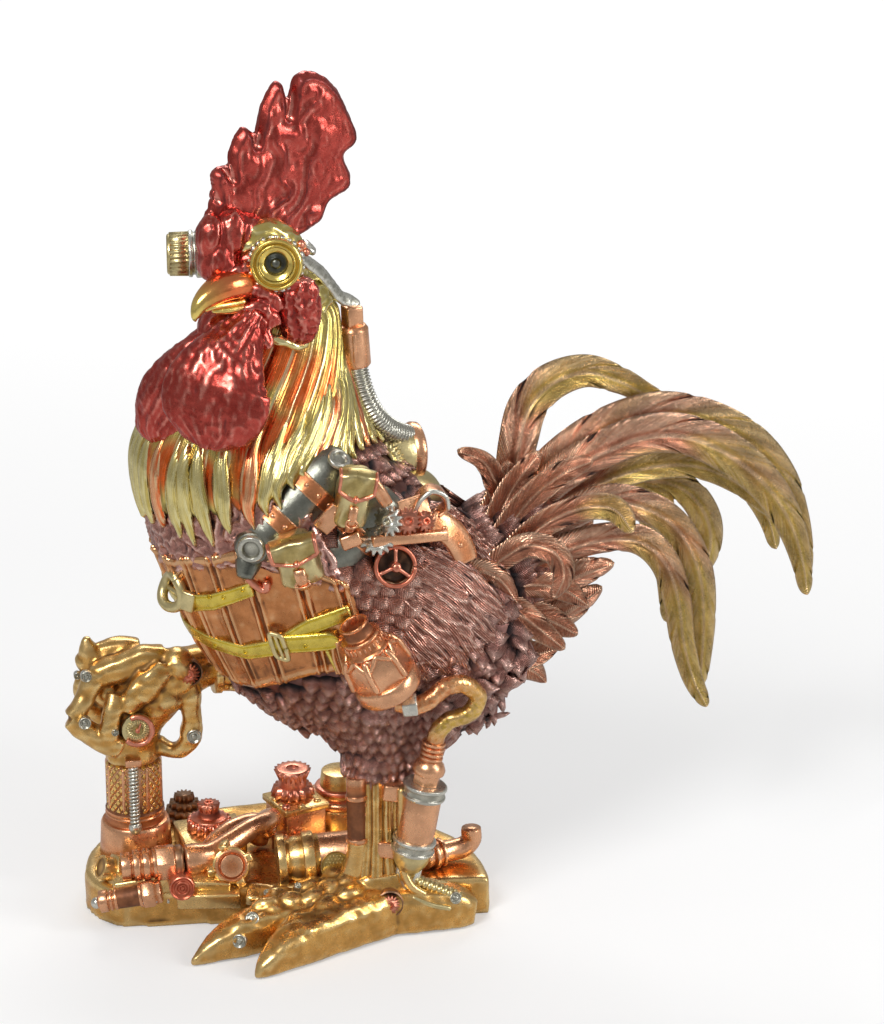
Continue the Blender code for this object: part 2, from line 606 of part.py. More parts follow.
def corner_plate(paint):
    """The angular copper plate between corset and pump."""
    bm = bmesh.new()
    block(bm, (13, -37.5, 104), (8, 10, 16), (6, -16, 10))
    carve("corner_plate", bm, paint)


def column(paint):
    """The column that carries the raised foot, with its collar and its spring."""
    bm = bmesh.new()
    shaft, collar = COLUMN_RADIUS / UNIT, COLLAR_RADIUS / UNIT
    collar_top = PLATE_TOP + COLLAR_HEIGHT / UNIT
    lathe(bm, (-55.7, 8, 0), AXIS_Z,
          ((PLATE_TOP - SINK * 3, collar), (collar_top, collar), (collar_top, shaft),
           (56, shaft - 0.5)), 12)
    sweep(bm, [(-57, 8 - shaft, collar_top - 1, 1.8, 1.8), (-57, 8 - shaft, 52, 1.8, 1.8)],
          2, 5)
    for turn in range(3):
        lathe(bm, (-55.7, 8, 29 + 7.5 * turn), AXIS_Z,
              ((0, shaft), (2.5, shaft + 1), (5, shaft)), 12)
    carve("column", bm, paint)


def raised_foot(paint):
    """The raised foot: an arm, a wrist and toes that grip the column's head."""
    bm = bmesh.new()
    sweep(bm, [(-4, 14, 80, 10, 11), (-18, 14, 83, 8, 9), (-28, 12, 83, 7.5, 8),
               (-36, 9, 82, 9, 9), (-46, 6, 80, 12, 11), (-54, 6, 70, 12.5, 11),
               (-56, 7, 58, 11, 10), (-56, 8, 50, 9.5, 9.5)], 9, 9)
    toes = [
        [(-48, 2, 88, 5.5, 5), (-58, 5, 90, 5.5, 5), (-67, 7, 87, 5, 4.5)],
        [(-65, 7, 85, 4.5, 4), (-69, 8, 90, 4, 3.5), (-70, 8, 97, 0, 0)],
        [(-54, -2, 80, 6, 5), (-66, -3, 78, 5.5, 4.5), (-76, -4, 71, 5, 4.5)],
        [(-78, -4, 72, 4.5, 4.5), (-72, -5, 66, 4.5, 4.5), (-62, -6, 60, 4.5, 4)],
        [(-54, 12, 82, 6, 5), (-68, 13, 81, 5.5, 4.5), (-76, 12, 76, 5, 4.5)],
        [(-76, 12, 78, 4.5, 4.5), (-72, 12, 68, 4.5, 4.5), (-62, 12, 62, 4.5, 4)],
        [(-36, 6, 78, 5.5, 5), (-33.5, 3, 69, 5, 4.5), (-34.5, 2, 60, 5, 4.5),
         (-40, 3, 54.5, 4, 4), (-50, 5, 55, 4, 4)],
    ]
    for keys in toes:
        sweep(bm, keys, len(keys) + 1, 5)
    lathe(bm, (-54.6, -5, 67), (0, -1, 0.1), ((-3, 5.6), (3.4, 5.4)), 10)
    lathe(bm, (-35, 2, 86), (0, -1, 0.1), ((-4, 4.4), (3.4, 4.4)), 12, tooth=0.9)
    for x, y, z in ((-66, 2, 87), (-73, -8, 72), (-34, -2, 61)):
        lathe(bm, (x, y + 3, z), (0, -1, 0.1), ((-2, 2.6), (3.4, 2.4)), 6)
    carve("raised_foot", bm, paint)


def base_machine(paint):
    """Pipes, valves, bolts and gears that stand on the base."""
    bm = bmesh.new()
    top = PLATE_TOP
    sideways = Vector((1, 0, 0.05))
    lathe(bm, (-62, -15, top + 4), (-0.9, -0.25, 0.35), ((-4, 6), (3, 6), (3, 4), (11, 4)), 6)
    block(bm, (-50, -18, top + 1), (30, 20, 10), (0, -6, 0))
    lathe(bm, (-62, -24, top + 9), sideways, ((0, 5), (12, 5), (12, 6.6), (20, 6.6)), 7)
    lathe(bm, (-71, -28, top - 2.5), (1, -0.12, 0.16),
          ((0, 2.2), (2.5, 2.6), (2.5, 4), (14, 4), (14, 5.2), (22, 5.2)), 7)
    lathe(bm, (-42, -26, top + 3), (0, -1, 0.1), ((0, 5.2), (8, 5)), 9)
    block(bm, (-33, -24, top + 3), (22, 12, 10))
    lathe(bm, (-25, -24, top + 8), (0.1, -0.95, 0.3), ((-3, 7.6), (5, 7.6), (5, 5.6), (9, 5.6)), 8)
    sweep(bm, [(-38, -20, top + 4, 4.6, 4.6), (-37, -20, top + 13, 4.6, 4.6),
               (-26, -17, top + 14, 4.4, 4.4), (-14, -13, top + 13, 4.4, 4.4),
               (-10, -8, top + 9, 4.2, 4.2), (-12, -2, top + 1, 4, 4)], 8, 6)
    block(bm, (-29, 4, top + 3), (22, 18, 9), (0, 0, 8))
    lathe(bm, (-29.8, 5, top + 6), AXIS_Z, ((0, 9.5), (4, 9.5), (5, 5)), 14, tooth=1.5)
    lathe(bm, (-29.8, 5, top + 10), AXIS_Z, ((0, 5), (3, 6), (7, 5.4)), 10, tooth=1.0)
    block(bm, (0, 12, top + 6), (20, 19, 17), (0, 0, 22))
    lathe(bm, (1, 14, top + 13), AXIS_Z, ((0, 8.5), (4, 8), (5, 5.5), (8, 5.5)), 12, tooth=1.5)
    lathe(bm, (1, 14, top + 20), AXIS_Z, ((0, 5.5), (4.5, 8.8), (6, 4.5)), 14, tooth=1.5)
    lathe(bm, (-12, -20, top + 5), sideways,
          ((0, 5), (5, 5), (5, 9.6), (10, 8.8), (17, 8.6), (17, 9.8), (21, 9.8), (21, 8.4),
           (40, 8.4)), 10)
    lathe(bm, (18.6, 20, top), AXIS_Z,
          ((-SINK, 10), (8, 11), (8, 12), (11, 12), (13, 8), (22, 6)), 10)
    sweep(bm, [(36, -20, top + 2, 6, 6), (48, -18, top + 3, 5.5, 5.5), (57, -17, top + 4, 4, 4),
               (61, -17, top + 8, 3.6, 3.6), (61, -17, top + 11, 3.6, 3.6)], 6, 6)
    lathe(bm, (-37, 30, top), AXIS_Z, ((-SINK, 8), (5, 7)), 12, tooth=1.4)
    lathe(bm, (54, -4, top), AXIS_Z, ((-SINK, 2.6), (1.6, 2.4)), 6)
    carve("base_machine", bm, paint)


def cast():
    """The figurine: the base, with every sub-part joined into it."""
    gold = bronze("gold_paint", (0.55, 0.36, 0.13), 0.35)
    sub_parts = bpy.data.collections.new("sub_parts")
    bpy.context.scene.collection.children.link(sub_parts)
    for make in (standing_foot, standing_leg, trunk, body_feathers, hackle, corset, tail, saddle,
                 head, wattles, comb, goggles, breathing_hose, tanks_and_pouches,
                 shoulder_machine, pump, corner_plate, column, raised_foot, base_machine):
        make(gold)
    wing("near_wing", -1, 6, gold)
    wing("far_wing", 1, 4, gold)
    base_plate(gold)
    figure = sub_parts.objects["base_plate"]
    sub_parts.objects.unlink(figure)
    bpy.context.scene.collection.objects.link(figure)
    figure.name = "rooster_figurine"
    figure.hide_render = False
    figure.display_type = 'TEXTURED'
    union = figure.modifiers.new("cast_in_one", 'BOOLEAN')
    union.operation = 'UNION'
    union.solver = 'EXACT'
    union.operand_type = 'COLLECTION'
    union.collection = sub_parts
    union.use_self = True
    figure.modifiers.new("facets", 'TRIANGULATE')
    thinning = figure.modifiers.new("thinning", 'DECIMATE')
    thinning.ratio = 0.56


for old in list(bpy.data.objects):
    bpy.data.objects.remove(old)
cast()
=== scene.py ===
import math

import bmesh
import bpy
import numpy as np
from mathutils import Euler, Matrix, Vector, noise
from mathutils.bvhtree import BVHTree


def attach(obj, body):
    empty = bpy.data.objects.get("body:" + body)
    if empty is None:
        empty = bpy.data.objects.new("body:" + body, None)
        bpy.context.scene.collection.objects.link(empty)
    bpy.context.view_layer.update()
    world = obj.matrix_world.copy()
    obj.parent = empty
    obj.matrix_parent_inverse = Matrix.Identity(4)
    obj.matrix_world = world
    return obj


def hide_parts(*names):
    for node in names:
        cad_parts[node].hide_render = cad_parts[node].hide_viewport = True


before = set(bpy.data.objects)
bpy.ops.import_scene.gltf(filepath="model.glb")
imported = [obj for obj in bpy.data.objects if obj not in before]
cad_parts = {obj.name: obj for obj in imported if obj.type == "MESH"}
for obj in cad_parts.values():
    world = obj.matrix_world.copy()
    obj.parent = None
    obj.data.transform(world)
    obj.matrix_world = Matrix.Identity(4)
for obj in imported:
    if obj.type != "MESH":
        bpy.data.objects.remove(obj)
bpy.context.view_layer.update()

# The base plate: one shallow cast slab, tight corners in front and wide ones behind, its
# faces a little uneven from the mould. Warm gold paint with brown wash and painted shade in
# every hollow, and a painted highlight on its ridges.
# Every form below is shaped in millimetres and becomes metres when it is made a piece.

MILLIMETRE = 0.001


def wrap(bm, rows, columns, place, **marks):
    """A grid bent into a skin by place, which turns the shares along and round into points."""
    layers = {name: bm.verts.layers.float.get(name) or bm.verts.layers.float.new(name)
              for name in marks}
    made = bmesh.ops.create_grid(bm, x_segments=rows, y_segments=columns, size=0.5)["verts"]
    share = np.array([vert.co[:2] for vert in made]) + 0.5
    for vert, point in zip(made, place(share[:, 0], share[:, 1])):
        vert.co = point
    for name, values in marks.items():
        for vert, value in zip(made, values(share[:, 0], share[:, 1])):
            vert[layers[name]] = value
    bmesh.ops.remove_doubles(bm, verts=made, dist=1e-4)


def curve(keys, count):
    """Rows of numbers along a smooth line through the keys."""
    keys = np.array(keys, dtype=float)
    last = len(keys) - 1
    padded = np.vstack([2 * keys[0] - keys[1], keys, 2 * keys[-1] - keys[-2]])
    along = np.linspace(0, last, count)
    first = np.minimum(along.astype(int), last - 1)
    t = (along - first)[:, None]
    a, b, c, d = (padded[first + step] for step in range(4))
    bend = (2 * a - 5 * b + 4 * c - d) * t * t + (3 * b - a - 3 * c + d) * t ** 3
    return 0.5 * (2 * b + (c - a) * t + bend)


def unit(rows):
    """Each row of an array brought to length one."""
    return rows / np.maximum(np.linalg.norm(rows, axis=-1, keepdims=True), 1e-9)


def grain(points, size, seed, stretch=(1, 1, 1)):
    """Smooth noise from -1 to 1 at each point, with lumps about as big as size."""
    moved = np.asarray(points) / (np.array(stretch) * size) + seed
    return np.array([noise.noise(point) for point in moved])


def mesh_of(bm, name):
    """The mesh of a form, its faces turned outwards."""
    bmesh.ops.recalc_face_normals(bm, faces=bm.faces)
    mesh = bpy.data.meshes.new(name)
    bm.to_mesh(mesh)
    bm.free()
    return mesh


def points_of(mesh):
    """A mesh's points and its outward directions as arrays."""
    points = np.empty(len(mesh.vertices) * 3)
    mesh.vertices.foreach_get("co", points)
    ways = np.empty(len(mesh.vertices) * 3)
    mesh.vertex_normals.foreach_get("vector", ways)
    return points.reshape(-1, 3), ways.reshape(-1, 3)


def set_points(mesh, points):
    """Puts a mesh's points in new places."""
    mesh.vertices.foreach_set("co", points.ravel())
    mesh.update()
    return mesh


def press(mesh, relief):
    """Moves the skin in or out by a function of its points."""
    points, ways = points_of(mesh)
    return set_points(mesh, points + ways * relief(points)[:, None])


def level(mesh, floor):
    """Flattens what hangs below a height."""
    points, _ = points_of(mesh)
    points[:, 2] = np.maximum(points[:, 2], floor)
    return set_points(mesh, points)


def put(name, data):
    """A new object in the scene."""
    made = bpy.data.objects.new(name, data)
    bpy.context.scene.collection.objects.link(made)
    return made


def recast(bm, voxel, rounds):
    """Melts overlapping closed forms into one even skin."""
    rough = put("cast", mesh_of(bm, "cast"))
    melt = rough.modifiers.new("melt", 'REMESH')
    melt.mode = 'VOXEL'
    melt.voxel_size = voxel
    soften = rough.modifiers.new("soften", 'SMOOTH')
    soften.factor = 0.5
    soften.iterations = rounds
    seen = rough.evaluated_get(bpy.context.evaluated_depsgraph_get())
    mesh = bpy.data.meshes.new_from_object(seen)
    bpy.data.objects.remove(rough)
    return mesh


def mark_hollows(mesh, reach, rounds):
    """Writes how hollow each point lies, from 0 on a ridge to 1 in a groove, 0.5 on a flat."""
    count = len(mesh.vertices)
    points, ways = points_of(mesh)
    ends = np.empty(len(mesh.edges) * 2, dtype=np.int32)
    mesh.edges.foreach_get("vertices", ends)
    a, b = ends[::2], ends[1::2]
    meeting = np.maximum(np.bincount(ends, minlength=count), 1)[:, None]
    even = points.copy()
    for _ in range(rounds):
        even = np.stack([np.bincount(a, even[b, k], count) + np.bincount(b, even[a, k], count)
                         for k in range(3)], axis=1) / meeting
    depth = np.einsum("ij,ij->i", even - points, ways)
    layer = mesh.attributes.new("hollow", 'FLOAT', 'POINT')
    layer.data.foreach_set("value", np.clip(0.5 + 0.5 * depth / reach, 0, 1).astype(np.float32))


def piece(name, form, paint, reach=0.25, rounds=2):
    """A finished piece of the casting, from a bmesh or a mesh in millimetres, or from a
    function that fills a bmesh."""
    if callable(form):
        bm = bmesh.new()
        form = form(bm) or bm
    mesh = mesh_of(form, name) if isinstance(form, bmesh.types.BMesh) else form
    mesh.name = name
    if not mesh.attributes.get("hollow"):
        mark_hollows(mesh, reach, rounds)
    mesh.transform(Matrix.Scale(MILLIMETRE, 4))
    mesh.materials.clear()
    mesh.materials.append(paint)
    mesh.shade_smooth()
    made = put(name, mesh)
    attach(made, "root")
    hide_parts("rooster_figurine")
    return made


def socket(group, name, way, kind, value=None):
    """A named input or output of a node group."""
    made = group.interface.new_socket(name=name, in_out=way, socket_type=kind)
    if value is not None:
        made.default_value = value


def node(tree, kind, **settings):
    """A new node with its settings."""
    made = tree.nodes.new(kind)
    for name, value in settings.items():
        setattr(made, name, value)
    return made


def feed(tree, target, *values):
    """Fills a node's inputs in order with numbers, colours or other nodes' outputs."""
    for place, value in enumerate(values):
        if value is None:
            continue
        if isinstance(value, bpy.types.NodeSocket):
            tree.links.new(value, target.inputs[place])
        else:
            target.inputs[place].default_value = value


def maths(tree, work, a, b=0, clamp=False):
    """One step of arithmetic."""
    made = node(tree, "ShaderNodeMath", operation=work, use_clamp=clamp)
    feed(tree, made, a, b)
    return made.outputs[0]


def blend_colour(tree, share, a, b):
    """Two colours mixed by a share."""
    made = node(tree, "ShaderNodeMix", data_type='RGBA')
    feed(tree, made, share, None, None, None, None, None, a, b)
    return made.outputs[2]


def between(tree, value, low, high):
    """A value brought to 0 at low and 1 at high, smoothly."""
    made = node(tree, "ShaderNodeMapRange", interpolation_type='SMOOTHSTEP')
    feed(tree, made, value, low, high, 0, 1)
    return made.outputs[0]


def make_aged_paint_and_light():
    """The finish all the paints share: mottled metal, a painted highlight on ridges, and dark wash with
    painted shade in hollows.
    """
    group = bpy.data.node_groups.new("aged_paint_and_light", "ShaderNodeTree")
    for name, kind, value in (
            ("Paint", 'NodeSocketColor', None), ("Second Paint", 'NodeSocketColor', None),
            ("Glint", 'NodeSocketColor', None), ("Dirt And Shade", 'NodeSocketColor', None),
            ("Shade", 'NodeSocketFloat', 0), ("Hollow", 'NodeSocketFloat', 0.5),
            ("Lines", 'NodeSocketFloat', 0), ("Grain Scale", 'NodeSocketFloat', 300),
            ("Glint Share", 'NodeSocketFloat', 0.5), ("Dirt And Shade Share", 'NodeSocketFloat', 0.5),
            ("Roughness", 'NodeSocketFloat', 0.35), ("Line Depth", 'NodeSocketFloat', 0)):
        socket(group, name, 'INPUT', kind, value)
    for name, kind in (("Color", 'NodeSocketColor'), ("Roughness", 'NodeSocketFloat'),
                       ("Metallic", 'NodeSocketFloat'), ("Height", 'NodeSocketFloat')):
        socket(group, name, 'OUTPUT', kind)
    given = node(group, "NodeGroupInput").outputs
    place = node(group, "ShaderNodeTexCoord").outputs["Object"]
    mottle = node(group, "ShaderNodeTexNoise", noise_dimensions='3D')
    feed(group, mottle, place, None, given["Grain Scale"], 4, 0.6)
    fine = node(group, "ShaderNodeTexNoise", noise_dimensions='3D')
    feed(group, fine, place, None, maths(group, 'MULTIPLY', given["Grain Scale"], 5), 3, 0.6)
    speck = mottle.outputs[0]
    paint = blend_colour(group, given["Shade"], given["Paint"], given["Second Paint"])
    deep = maths(group, 'MULTIPLY', maths(group, 'SUBTRACT', speck, 0.5), 0.8)
    tone = maths(group, 'ADD', 1, deep)
    toned = node(group, "ShaderNodeVectorMath", operation='SCALE')
    group.links.new(paint, toned.inputs[0])
    group.links.new(tone, toned.inputs["Scale"])
    # Painted highlight: the glint colour laid over ridges and raised edges, where light would catch.
    ridge = between(group, given["Hollow"], 0.5, 0.12)
    worn = between(group, maths(group, 'ADD', speck, maths(group, 'MULTIPLY', fine.outputs[0], 0.5)),
                   0.55, 0.95)
    lit = maths(group, 'MULTIPLY', maths(group, 'ADD', ridge, maths(group, 'MULTIPLY', worn, 0.16)),
                given["Glint Share"], clamp=True)
    coloured = blend_colour(group, lit, toned.outputs[0], given["Glint"])
    # The dirt colour in grooves and hollows: dark wash there, and painted shade where light would not
    # reach.
    groove = between(group, given["Hollow"], 0.56, 0.95)
    stain = maths(group, 'MULTIPLY', between(group, speck, 0.6, 0.35), 0.2)
    # The troughs of the barb lines darkened as well, with the same dark wash and painted shade.
    line_dirt_and_shade = maths(group, 'MULTIPLY', between(group, given["Lines"], 0.1, -0.9),
                      given["Line Depth"])
    stain_and_shade = maths(group, 'ADD', maths(group, 'ADD', groove, stain), line_dirt_and_shade)
    dirt_and_shade_mix = maths(group, 'MULTIPLY', stain_and_shade, given["Dirt And Shade Share"], clamp=True)
    colour = blend_colour(group, dirt_and_shade_mix, coloured, given["Dirt And Shade"])
    rough = maths(group, 'ADD', given["Roughness"],
                  maths(group, 'ADD', maths(group, 'MULTIPLY', dirt_and_shade_mix, 0.3),
                        maths(group, 'MULTIPLY', maths(group, 'SUBTRACT', fine.outputs[0], 0.5), 0.2)))
    metal = maths(group, 'SUBTRACT', 0.96, maths(group, 'MULTIPLY', dirt_and_shade_mix, 0.5))
    height = maths(group, 'ADD', maths(group, 'MULTIPLY', fine.outputs[0], 0.5),
                   maths(group, 'MULTIPLY', speck, 0.8))
    raised = maths(group, 'ADD', height, maths(group, 'MULTIPLY', given["Lines"],
                                               given["Line Depth"]))
    leave = node(group, "NodeGroupOutput")
    feed(group, leave, colour, rough, metal, raised)
    return group


aged_paint_and_light = make_aged_paint_and_light()


# The dirt colour goes into hollows as dark wash and painted shade; the glint colour onto ridges as a
# painted highlight.
def paint(name, colour, glint, dirt_and_shade, scale, roughness, second=None, glint_share=0.5, dirt_and_shade_share=0.7,
          lines=0, bump=0.12, coat=0):
    """A metallic paint. Where a second colour is given, the piece's own shade mixes it in."""
    made = bpy.data.materials.new(name)
    made.use_nodes = True
    tree = made.node_tree
    shader = tree.nodes["Principled BSDF"]
    aged_and_lit = node(tree, "ShaderNodeGroup", node_tree=aged_paint_and_light)
    shade = node(tree, "ShaderNodeAttribute", attribute_name="shade")
    hollow = node(tree, "ShaderNodeAttribute", attribute_name="hollow")
    barb = node(tree, "ShaderNodeAttribute", attribute_name="barb")
    wave = maths(tree, 'SINE', maths(tree, 'MULTIPLY', barb.outputs["Fac"], 2 * math.pi))
    feed(tree, aged_and_lit, (*colour, 1), (*(second or colour), 1), (*glint, 1), (*dirt_and_shade, 1),
         shade.outputs["Fac"], hollow.outputs["Fac"], wave, scale, glint_share, dirt_and_shade_share,
         roughness, lines)
    tree.links.new(aged_and_lit.outputs["Color"], shader.inputs["Base Color"])
    tree.links.new(aged_and_lit.outputs["Roughness"], shader.inputs["Roughness"])
    tree.links.new(aged_and_lit.outputs["Metallic"], shader.inputs["Metallic"])
    lift = node(tree, "ShaderNodeBump")
    lift.inputs["Strength"].default_value = 1
    lift.inputs["Distance"].default_value = bump * MILLIMETRE
    tree.links.new(aged_and_lit.outputs["Height"], lift.inputs["Height"])
    tree.links.new(lift.outputs["Normal"], shader.inputs["Normal"])
    shader.inputs["Coat Weight"].default_value = coat
    shader.inputs["Coat Roughness"].default_value = 0.12
    return made


warm_gold = paint("warm_gold", (0.70, 0.375, 0.10), (1, 0.78, 0.38), (0.08, 0.032, 0.01),
                  scale=160, roughness=0.27)

BASE_TOP = 14


def raise_faces(bm, faces, height):
    """Pulls faces up into a solid, and gives the points that went up."""
    up = bmesh.ops.extrude_face_region(bm, geom=faces)["geom"]
    raised = [item for item in up if isinstance(item, bmesh.types.BMVert)]
    bmesh.ops.translate(bm, verts=raised, vec=(0, 0, height))
    return raised


def base_plate(bm):
    """The slab, with its long edges eased and its faces gently uneven."""
    corners = [(-75, -6), (-73.5, -13), (-69, -20.5), (-63, -25.2), (-54, -26.4), (0, -29.4),
               (60, -32.4), (64.6, -32.2), (66, -29), (64.6, -14), (60.6, -2), (53, 10), (42, 22),
               (29, 31.5), (14, 37.4), (-4, 40), (-20, 39), (-38, 35), (-54, 29), (-66, 20), (-73, 8)]
    outline = [(x, y, 0) for x, y in curve(corners + corners[:1], 90)[:-1]]
    foot = bmesh.ops.contextual_create(bm, geom=[bm.verts.new(point) for point in outline])
    raised = raise_faces(bm, foot["faces"], BASE_TOP)
    rim = [edge for edge in bm.edges if all(vert in raised for vert in edge.verts)]
    bmesh.ops.bevel(bm, geom=rim, offset=2, segments=3, profile=0.5, affect='EDGES', material=-1)
    mesh = recast(bm, 1.2, 1)

    def uneven(points):
        swell = 0.35 * grain(points, 14, 3) + 0.16 * grain(points, 4, 9)
        return np.where(points[:, 2] > 0.8, swell - 0.35, 0)
    return level(press(mesh, uneven), 0)


piece("base_plate", base_plate, warm_gold, reach=0.2, rounds=3)

# The fittings on the base: a ribbed hose union with its nut and bent pipe, a spark plug, a
# knob, an eared flange nut, a bolt, two stacks of gears, a gearbox, a valve, a pot and an
# elbow. They are cast with the base and picked out in copper, gold, silver and dark bronze.

bright_copper = paint("bright_copper", (0.70, 0.26, 0.105), (1, 0.62, 0.38), (0.08, 0.028, 0.012),
                      scale=190, roughness=0.27)
red_copper = paint("red_copper", (0.63, 0.16, 0.085), (1, 0.46, 0.32), (0.08, 0.014, 0.01),
                   scale=220, roughness=0.3)
old_silver = paint("old_silver", (0.46, 0.445, 0.37), (0.95, 0.94, 0.86), (0.025, 0.022, 0.016),
                   scale=260, roughness=0.28)
brass_gold = paint("brass_gold", (0.47, 0.355, 0.13), (0.95, 0.82, 0.46), (0.035, 0.026, 0.012),
                   scale=200, roughness=0.3)
dark_bronze = paint("dark_bronze", (0.20, 0.11, 0.06), (0.6, 0.34, 0.2), (0.012, 0.009, 0.008),
                    scale=240, roughness=0.36)
UP, SIDEWAYS = (0, 0, 1), (0, 1, 0)


def add(bm, part, place):
    """Sets a finished part into a form at its place."""
    part.transform(place)
    bmesh.ops.recalc_face_normals(part, faces=part.faces)
    mesh = bpy.data.meshes.new("part")
    part.to_mesh(mesh)
    part.free()
    bm.from_mesh(mesh)
    bpy.data.meshes.remove(mesh)


def standing(foot, axis, turn=0):
    """The place of a part whose own foot is at the origin and whose own axis is +Z."""
    lean = Vector(UP).rotation_difference(Vector(axis)).to_matrix().to_4x4()
    return Matrix.Translation(foot) @ lean @ Matrix.Rotation(math.radians(turn), 4, 'Z')


def ease(part, offset):
    """Rounds a part's sharp edges a little, as a mould and paint leave them."""
    edges = [edge for edge in part.edges if edge.calc_face_angle(0) > 0.6]
    if edges and offset:
        bmesh.ops.bevel(part, geom=edges, offset=offset, segments=2, profile=0.5,
                        affect='EDGES', material=-1, clamp_overlap=True)


def turn_by(degrees):
    """A turn by three angles."""
    return Euler([math.radians(angle) for angle in degrees]).to_matrix().to_4x4()


def on_ring(reach, angle, height=0):
    """A point at a distance and an angle round an axis."""
    return Vector((reach * math.cos(angle), reach * math.sin(angle), height))


def turned(bm, foot, axis, profile, sides, soft=0.25, turn=0):
    """A turned part from pairs of height and radius. Six sides make a nut."""
    part = bmesh.new()
    rows = [(profile[0][0], 0), *profile, (profile[-1][0], 0)]
    line = [part.verts.new((radius, 0, height)) for height, radius in rows]
    edges = [part.edges.new(pair) for pair in zip(line, line[1:])]
    bmesh.ops.spin(part, geom=line + edges, cent=(0, 0, 0), axis=UP,
                   angle=2 * math.pi, steps=sides, use_merge=True)
    bmesh.ops.remove_doubles(part, verts=part.verts, dist=1e-4)
    ease(part, soft)
    add(bm, part, standing(foot, axis, turn))


def box(bm, middle, size, turn, soft):
    """A box with eased edges, turned by degrees."""
    part = bmesh.new()
    bmesh.ops.create_cube(part, size=1)
    bmesh.ops.scale(part, verts=part.verts, vec=size)
    ease(part, soft)
    add(bm, part, Matrix.Translation(middle) @ turn_by(turn))


def gear(bm, foot, axis, teeth, outer, root, height, top, hub=0):
    """A toothed wheel, coned where its top is narrower, with a raised hub."""
    part = bmesh.new()
    rim = bmesh.ops.create_circle(part, cap_ends=True, segments=4 * teeth, radius=1)["verts"]
    for k, vert in enumerate(rim):
        reach = outer if k % 4 in (1, 2) else root
        vert.co = vert.co.normalized() * reach
    bmesh.ops.scale(part, verts=raise_faces(part, part.faces[:], height), vec=(top, top, 1))
    add(bm, part, standing(foot, axis))
    if hub:
        turned(bm, foot, axis,
               ((0, hub), (height + 0.5, hub), (height + 0.5, hub * 0.55),
                (height - 0.4, hub * 0.5), (height - 0.4, 0.2)), 16, 0.12)


def tube(bm, keys, sides, rows, relief=None, **marks):
    """A round bar or pipe along keys of x, y, z and radius, its ends rounded off."""
    path = curve(keys, rows + 1)
    centre, radius = path[:, :3], path[:, 3].copy()
    tangent = unit(np.gradient(centre, axis=0))
    across = [unit(np.cross(tangent[0], (0.31, 0.2, 0.93)))]
    for step in range(1, rows + 1):
        kept = across[-1] - tangent[step] * (across[-1] @ tangent[step])
        across.append(unit(kept))
    across = np.array(across)
    through = np.cross(tangent, across)
    shorten = np.minimum(np.arange(rows + 1), np.arange(rows + 1)[::-1])

    def place(along, around):
        row = np.rint(along * rows).astype(int)
        angle = 2 * math.pi * around
        reach = radius[row] * np.where(shorten[row] == 0, 0, 1)
        if relief is not None:
            reach = reach + np.where(shorten[row] == 0, 0, relief(along, around))
        return (centre[row] + across[row] * (reach * np.cos(angle))[:, None]
                + through[row] * (reach * np.sin(angle))[:, None])
    wrap(bm, rows, sides, place, **marks)


def stud(bm, place, way, radius, depth=0.6):
    """A round rivet head."""
    part = bmesh.new()
    bmesh.ops.create_uvsphere(part, u_segments=10, v_segments=6, radius=radius)
    bmesh.ops.scale(part, verts=part.verts, vec=(1, 1, depth))
    add(bm, part, standing(place, way))


def screw(bm, place, way, radius):
    """A ringed screw head."""
    turned(bm, place, way, ((-2, radius), (1, radius), (1.3, radius * 0.85), (0.7, radius * 0.62),
                            (0.7, radius * 0.45), (1.3, radius * 0.3), (1.4, 0.1)), 20, 0.08)


def base_gold(bm):
    """Plates, bolt, eared flange, gearbox top, pot and the valve's rings."""
    box(bm, (-50, -17, 16), (32, 20, 7), (0, -5, 3), 1)
    box(bm, (-57, -27, 13), (14, 7, 4), (20, 0, 4), 0.5)
    box(bm, (-34, -27, 16.5), (18, 8, 6), (18, 4, -4), 0.8)
    box(bm, (-33, -31, 12), (22, 5, 6), (12, 0, -6), 0.8)
    turned(bm, (-64, -15, 17), (-0.9, -0.25, 0.4), ((-4, 6), (2, 6)), 6, 0.4)
    turned(bm, (-64, -15, 17), (-0.9, -0.25, 0.4), ((2, 4.3), (6.2, 4.3), (6.4, 3.4), (5.9, 3.2)), 28)
    turned(bm, (-25, -25, 21.5), (0.05, -0.93, 0.36), ((-4, 6.6), (3.4, 6.6), (3.8, 6)), 28, 0.3)
    for degrees in (-65, 20, 105, 190):
        way = Vector((math.cos(math.radians(degrees)), 0.36 * math.sin(math.radians(degrees)),
                      0.93 * math.sin(math.radians(degrees))))
        box(bm, Vector((-25, -27, 22.3)) + way * 6.6, (3.4, 5, 3.2), (-21, -degrees, 0), 0.6)
    box(bm, (-29.5, 5, 17.4), (23, 19, 7.4), (3, 0, 8), 0.9)
    box(bm, (-19.5, 0, 21.6), (3.4, 14, 2.2), (3, 0, 8), 0.4)
    box(bm, (-22, -4.5, 22), (8, 2.6, 2), (0, 0, 8), 0.4)
    box(bm, (1.8, 12, 26.6), (17.6, 18.4, 2.4), (0, 0, 22), 0.4)
    turned(bm, (18.6, 20, 12), UP, ((0, 9.4), (2, 10.4), (9, 10.9), (10.5, 10.2)), 40, 0.3)
    turned(bm, (18.6, 20, 24.5), UP, ((0, 8.6), (3, 7.4), (9.5, 6.6)), 32, 0.3)
    for x, y in ((-3.6, 6.2), (3.2, 4.2), (-5.6, 11.6), (9.2, 8.4)):
        stud(bm, (x, y, 28), UP, 1.4)
    turned(bm, (-11.4, -20.6, 19.2), (1, 0, 0.05),
           ((3, 7.4), (3.4, 9.3), (6.2, 9.4), (6.4, 8), (7.6, 7.6), (9.4, 8.4),
            (12.4, 8.4), (12.4, 9.6), (16.2, 9.6), (16.4, 8.4), (18.5, 8.2)), 48, 0.2)
    for x, y in ((54, -4), (49, -10)):
        turned(bm, (x, y, 12.6), UP, ((0, 1.5), (1.5, 1.4), (1.6, 0.7), (0.9, 0.5)), 16, 0.1)


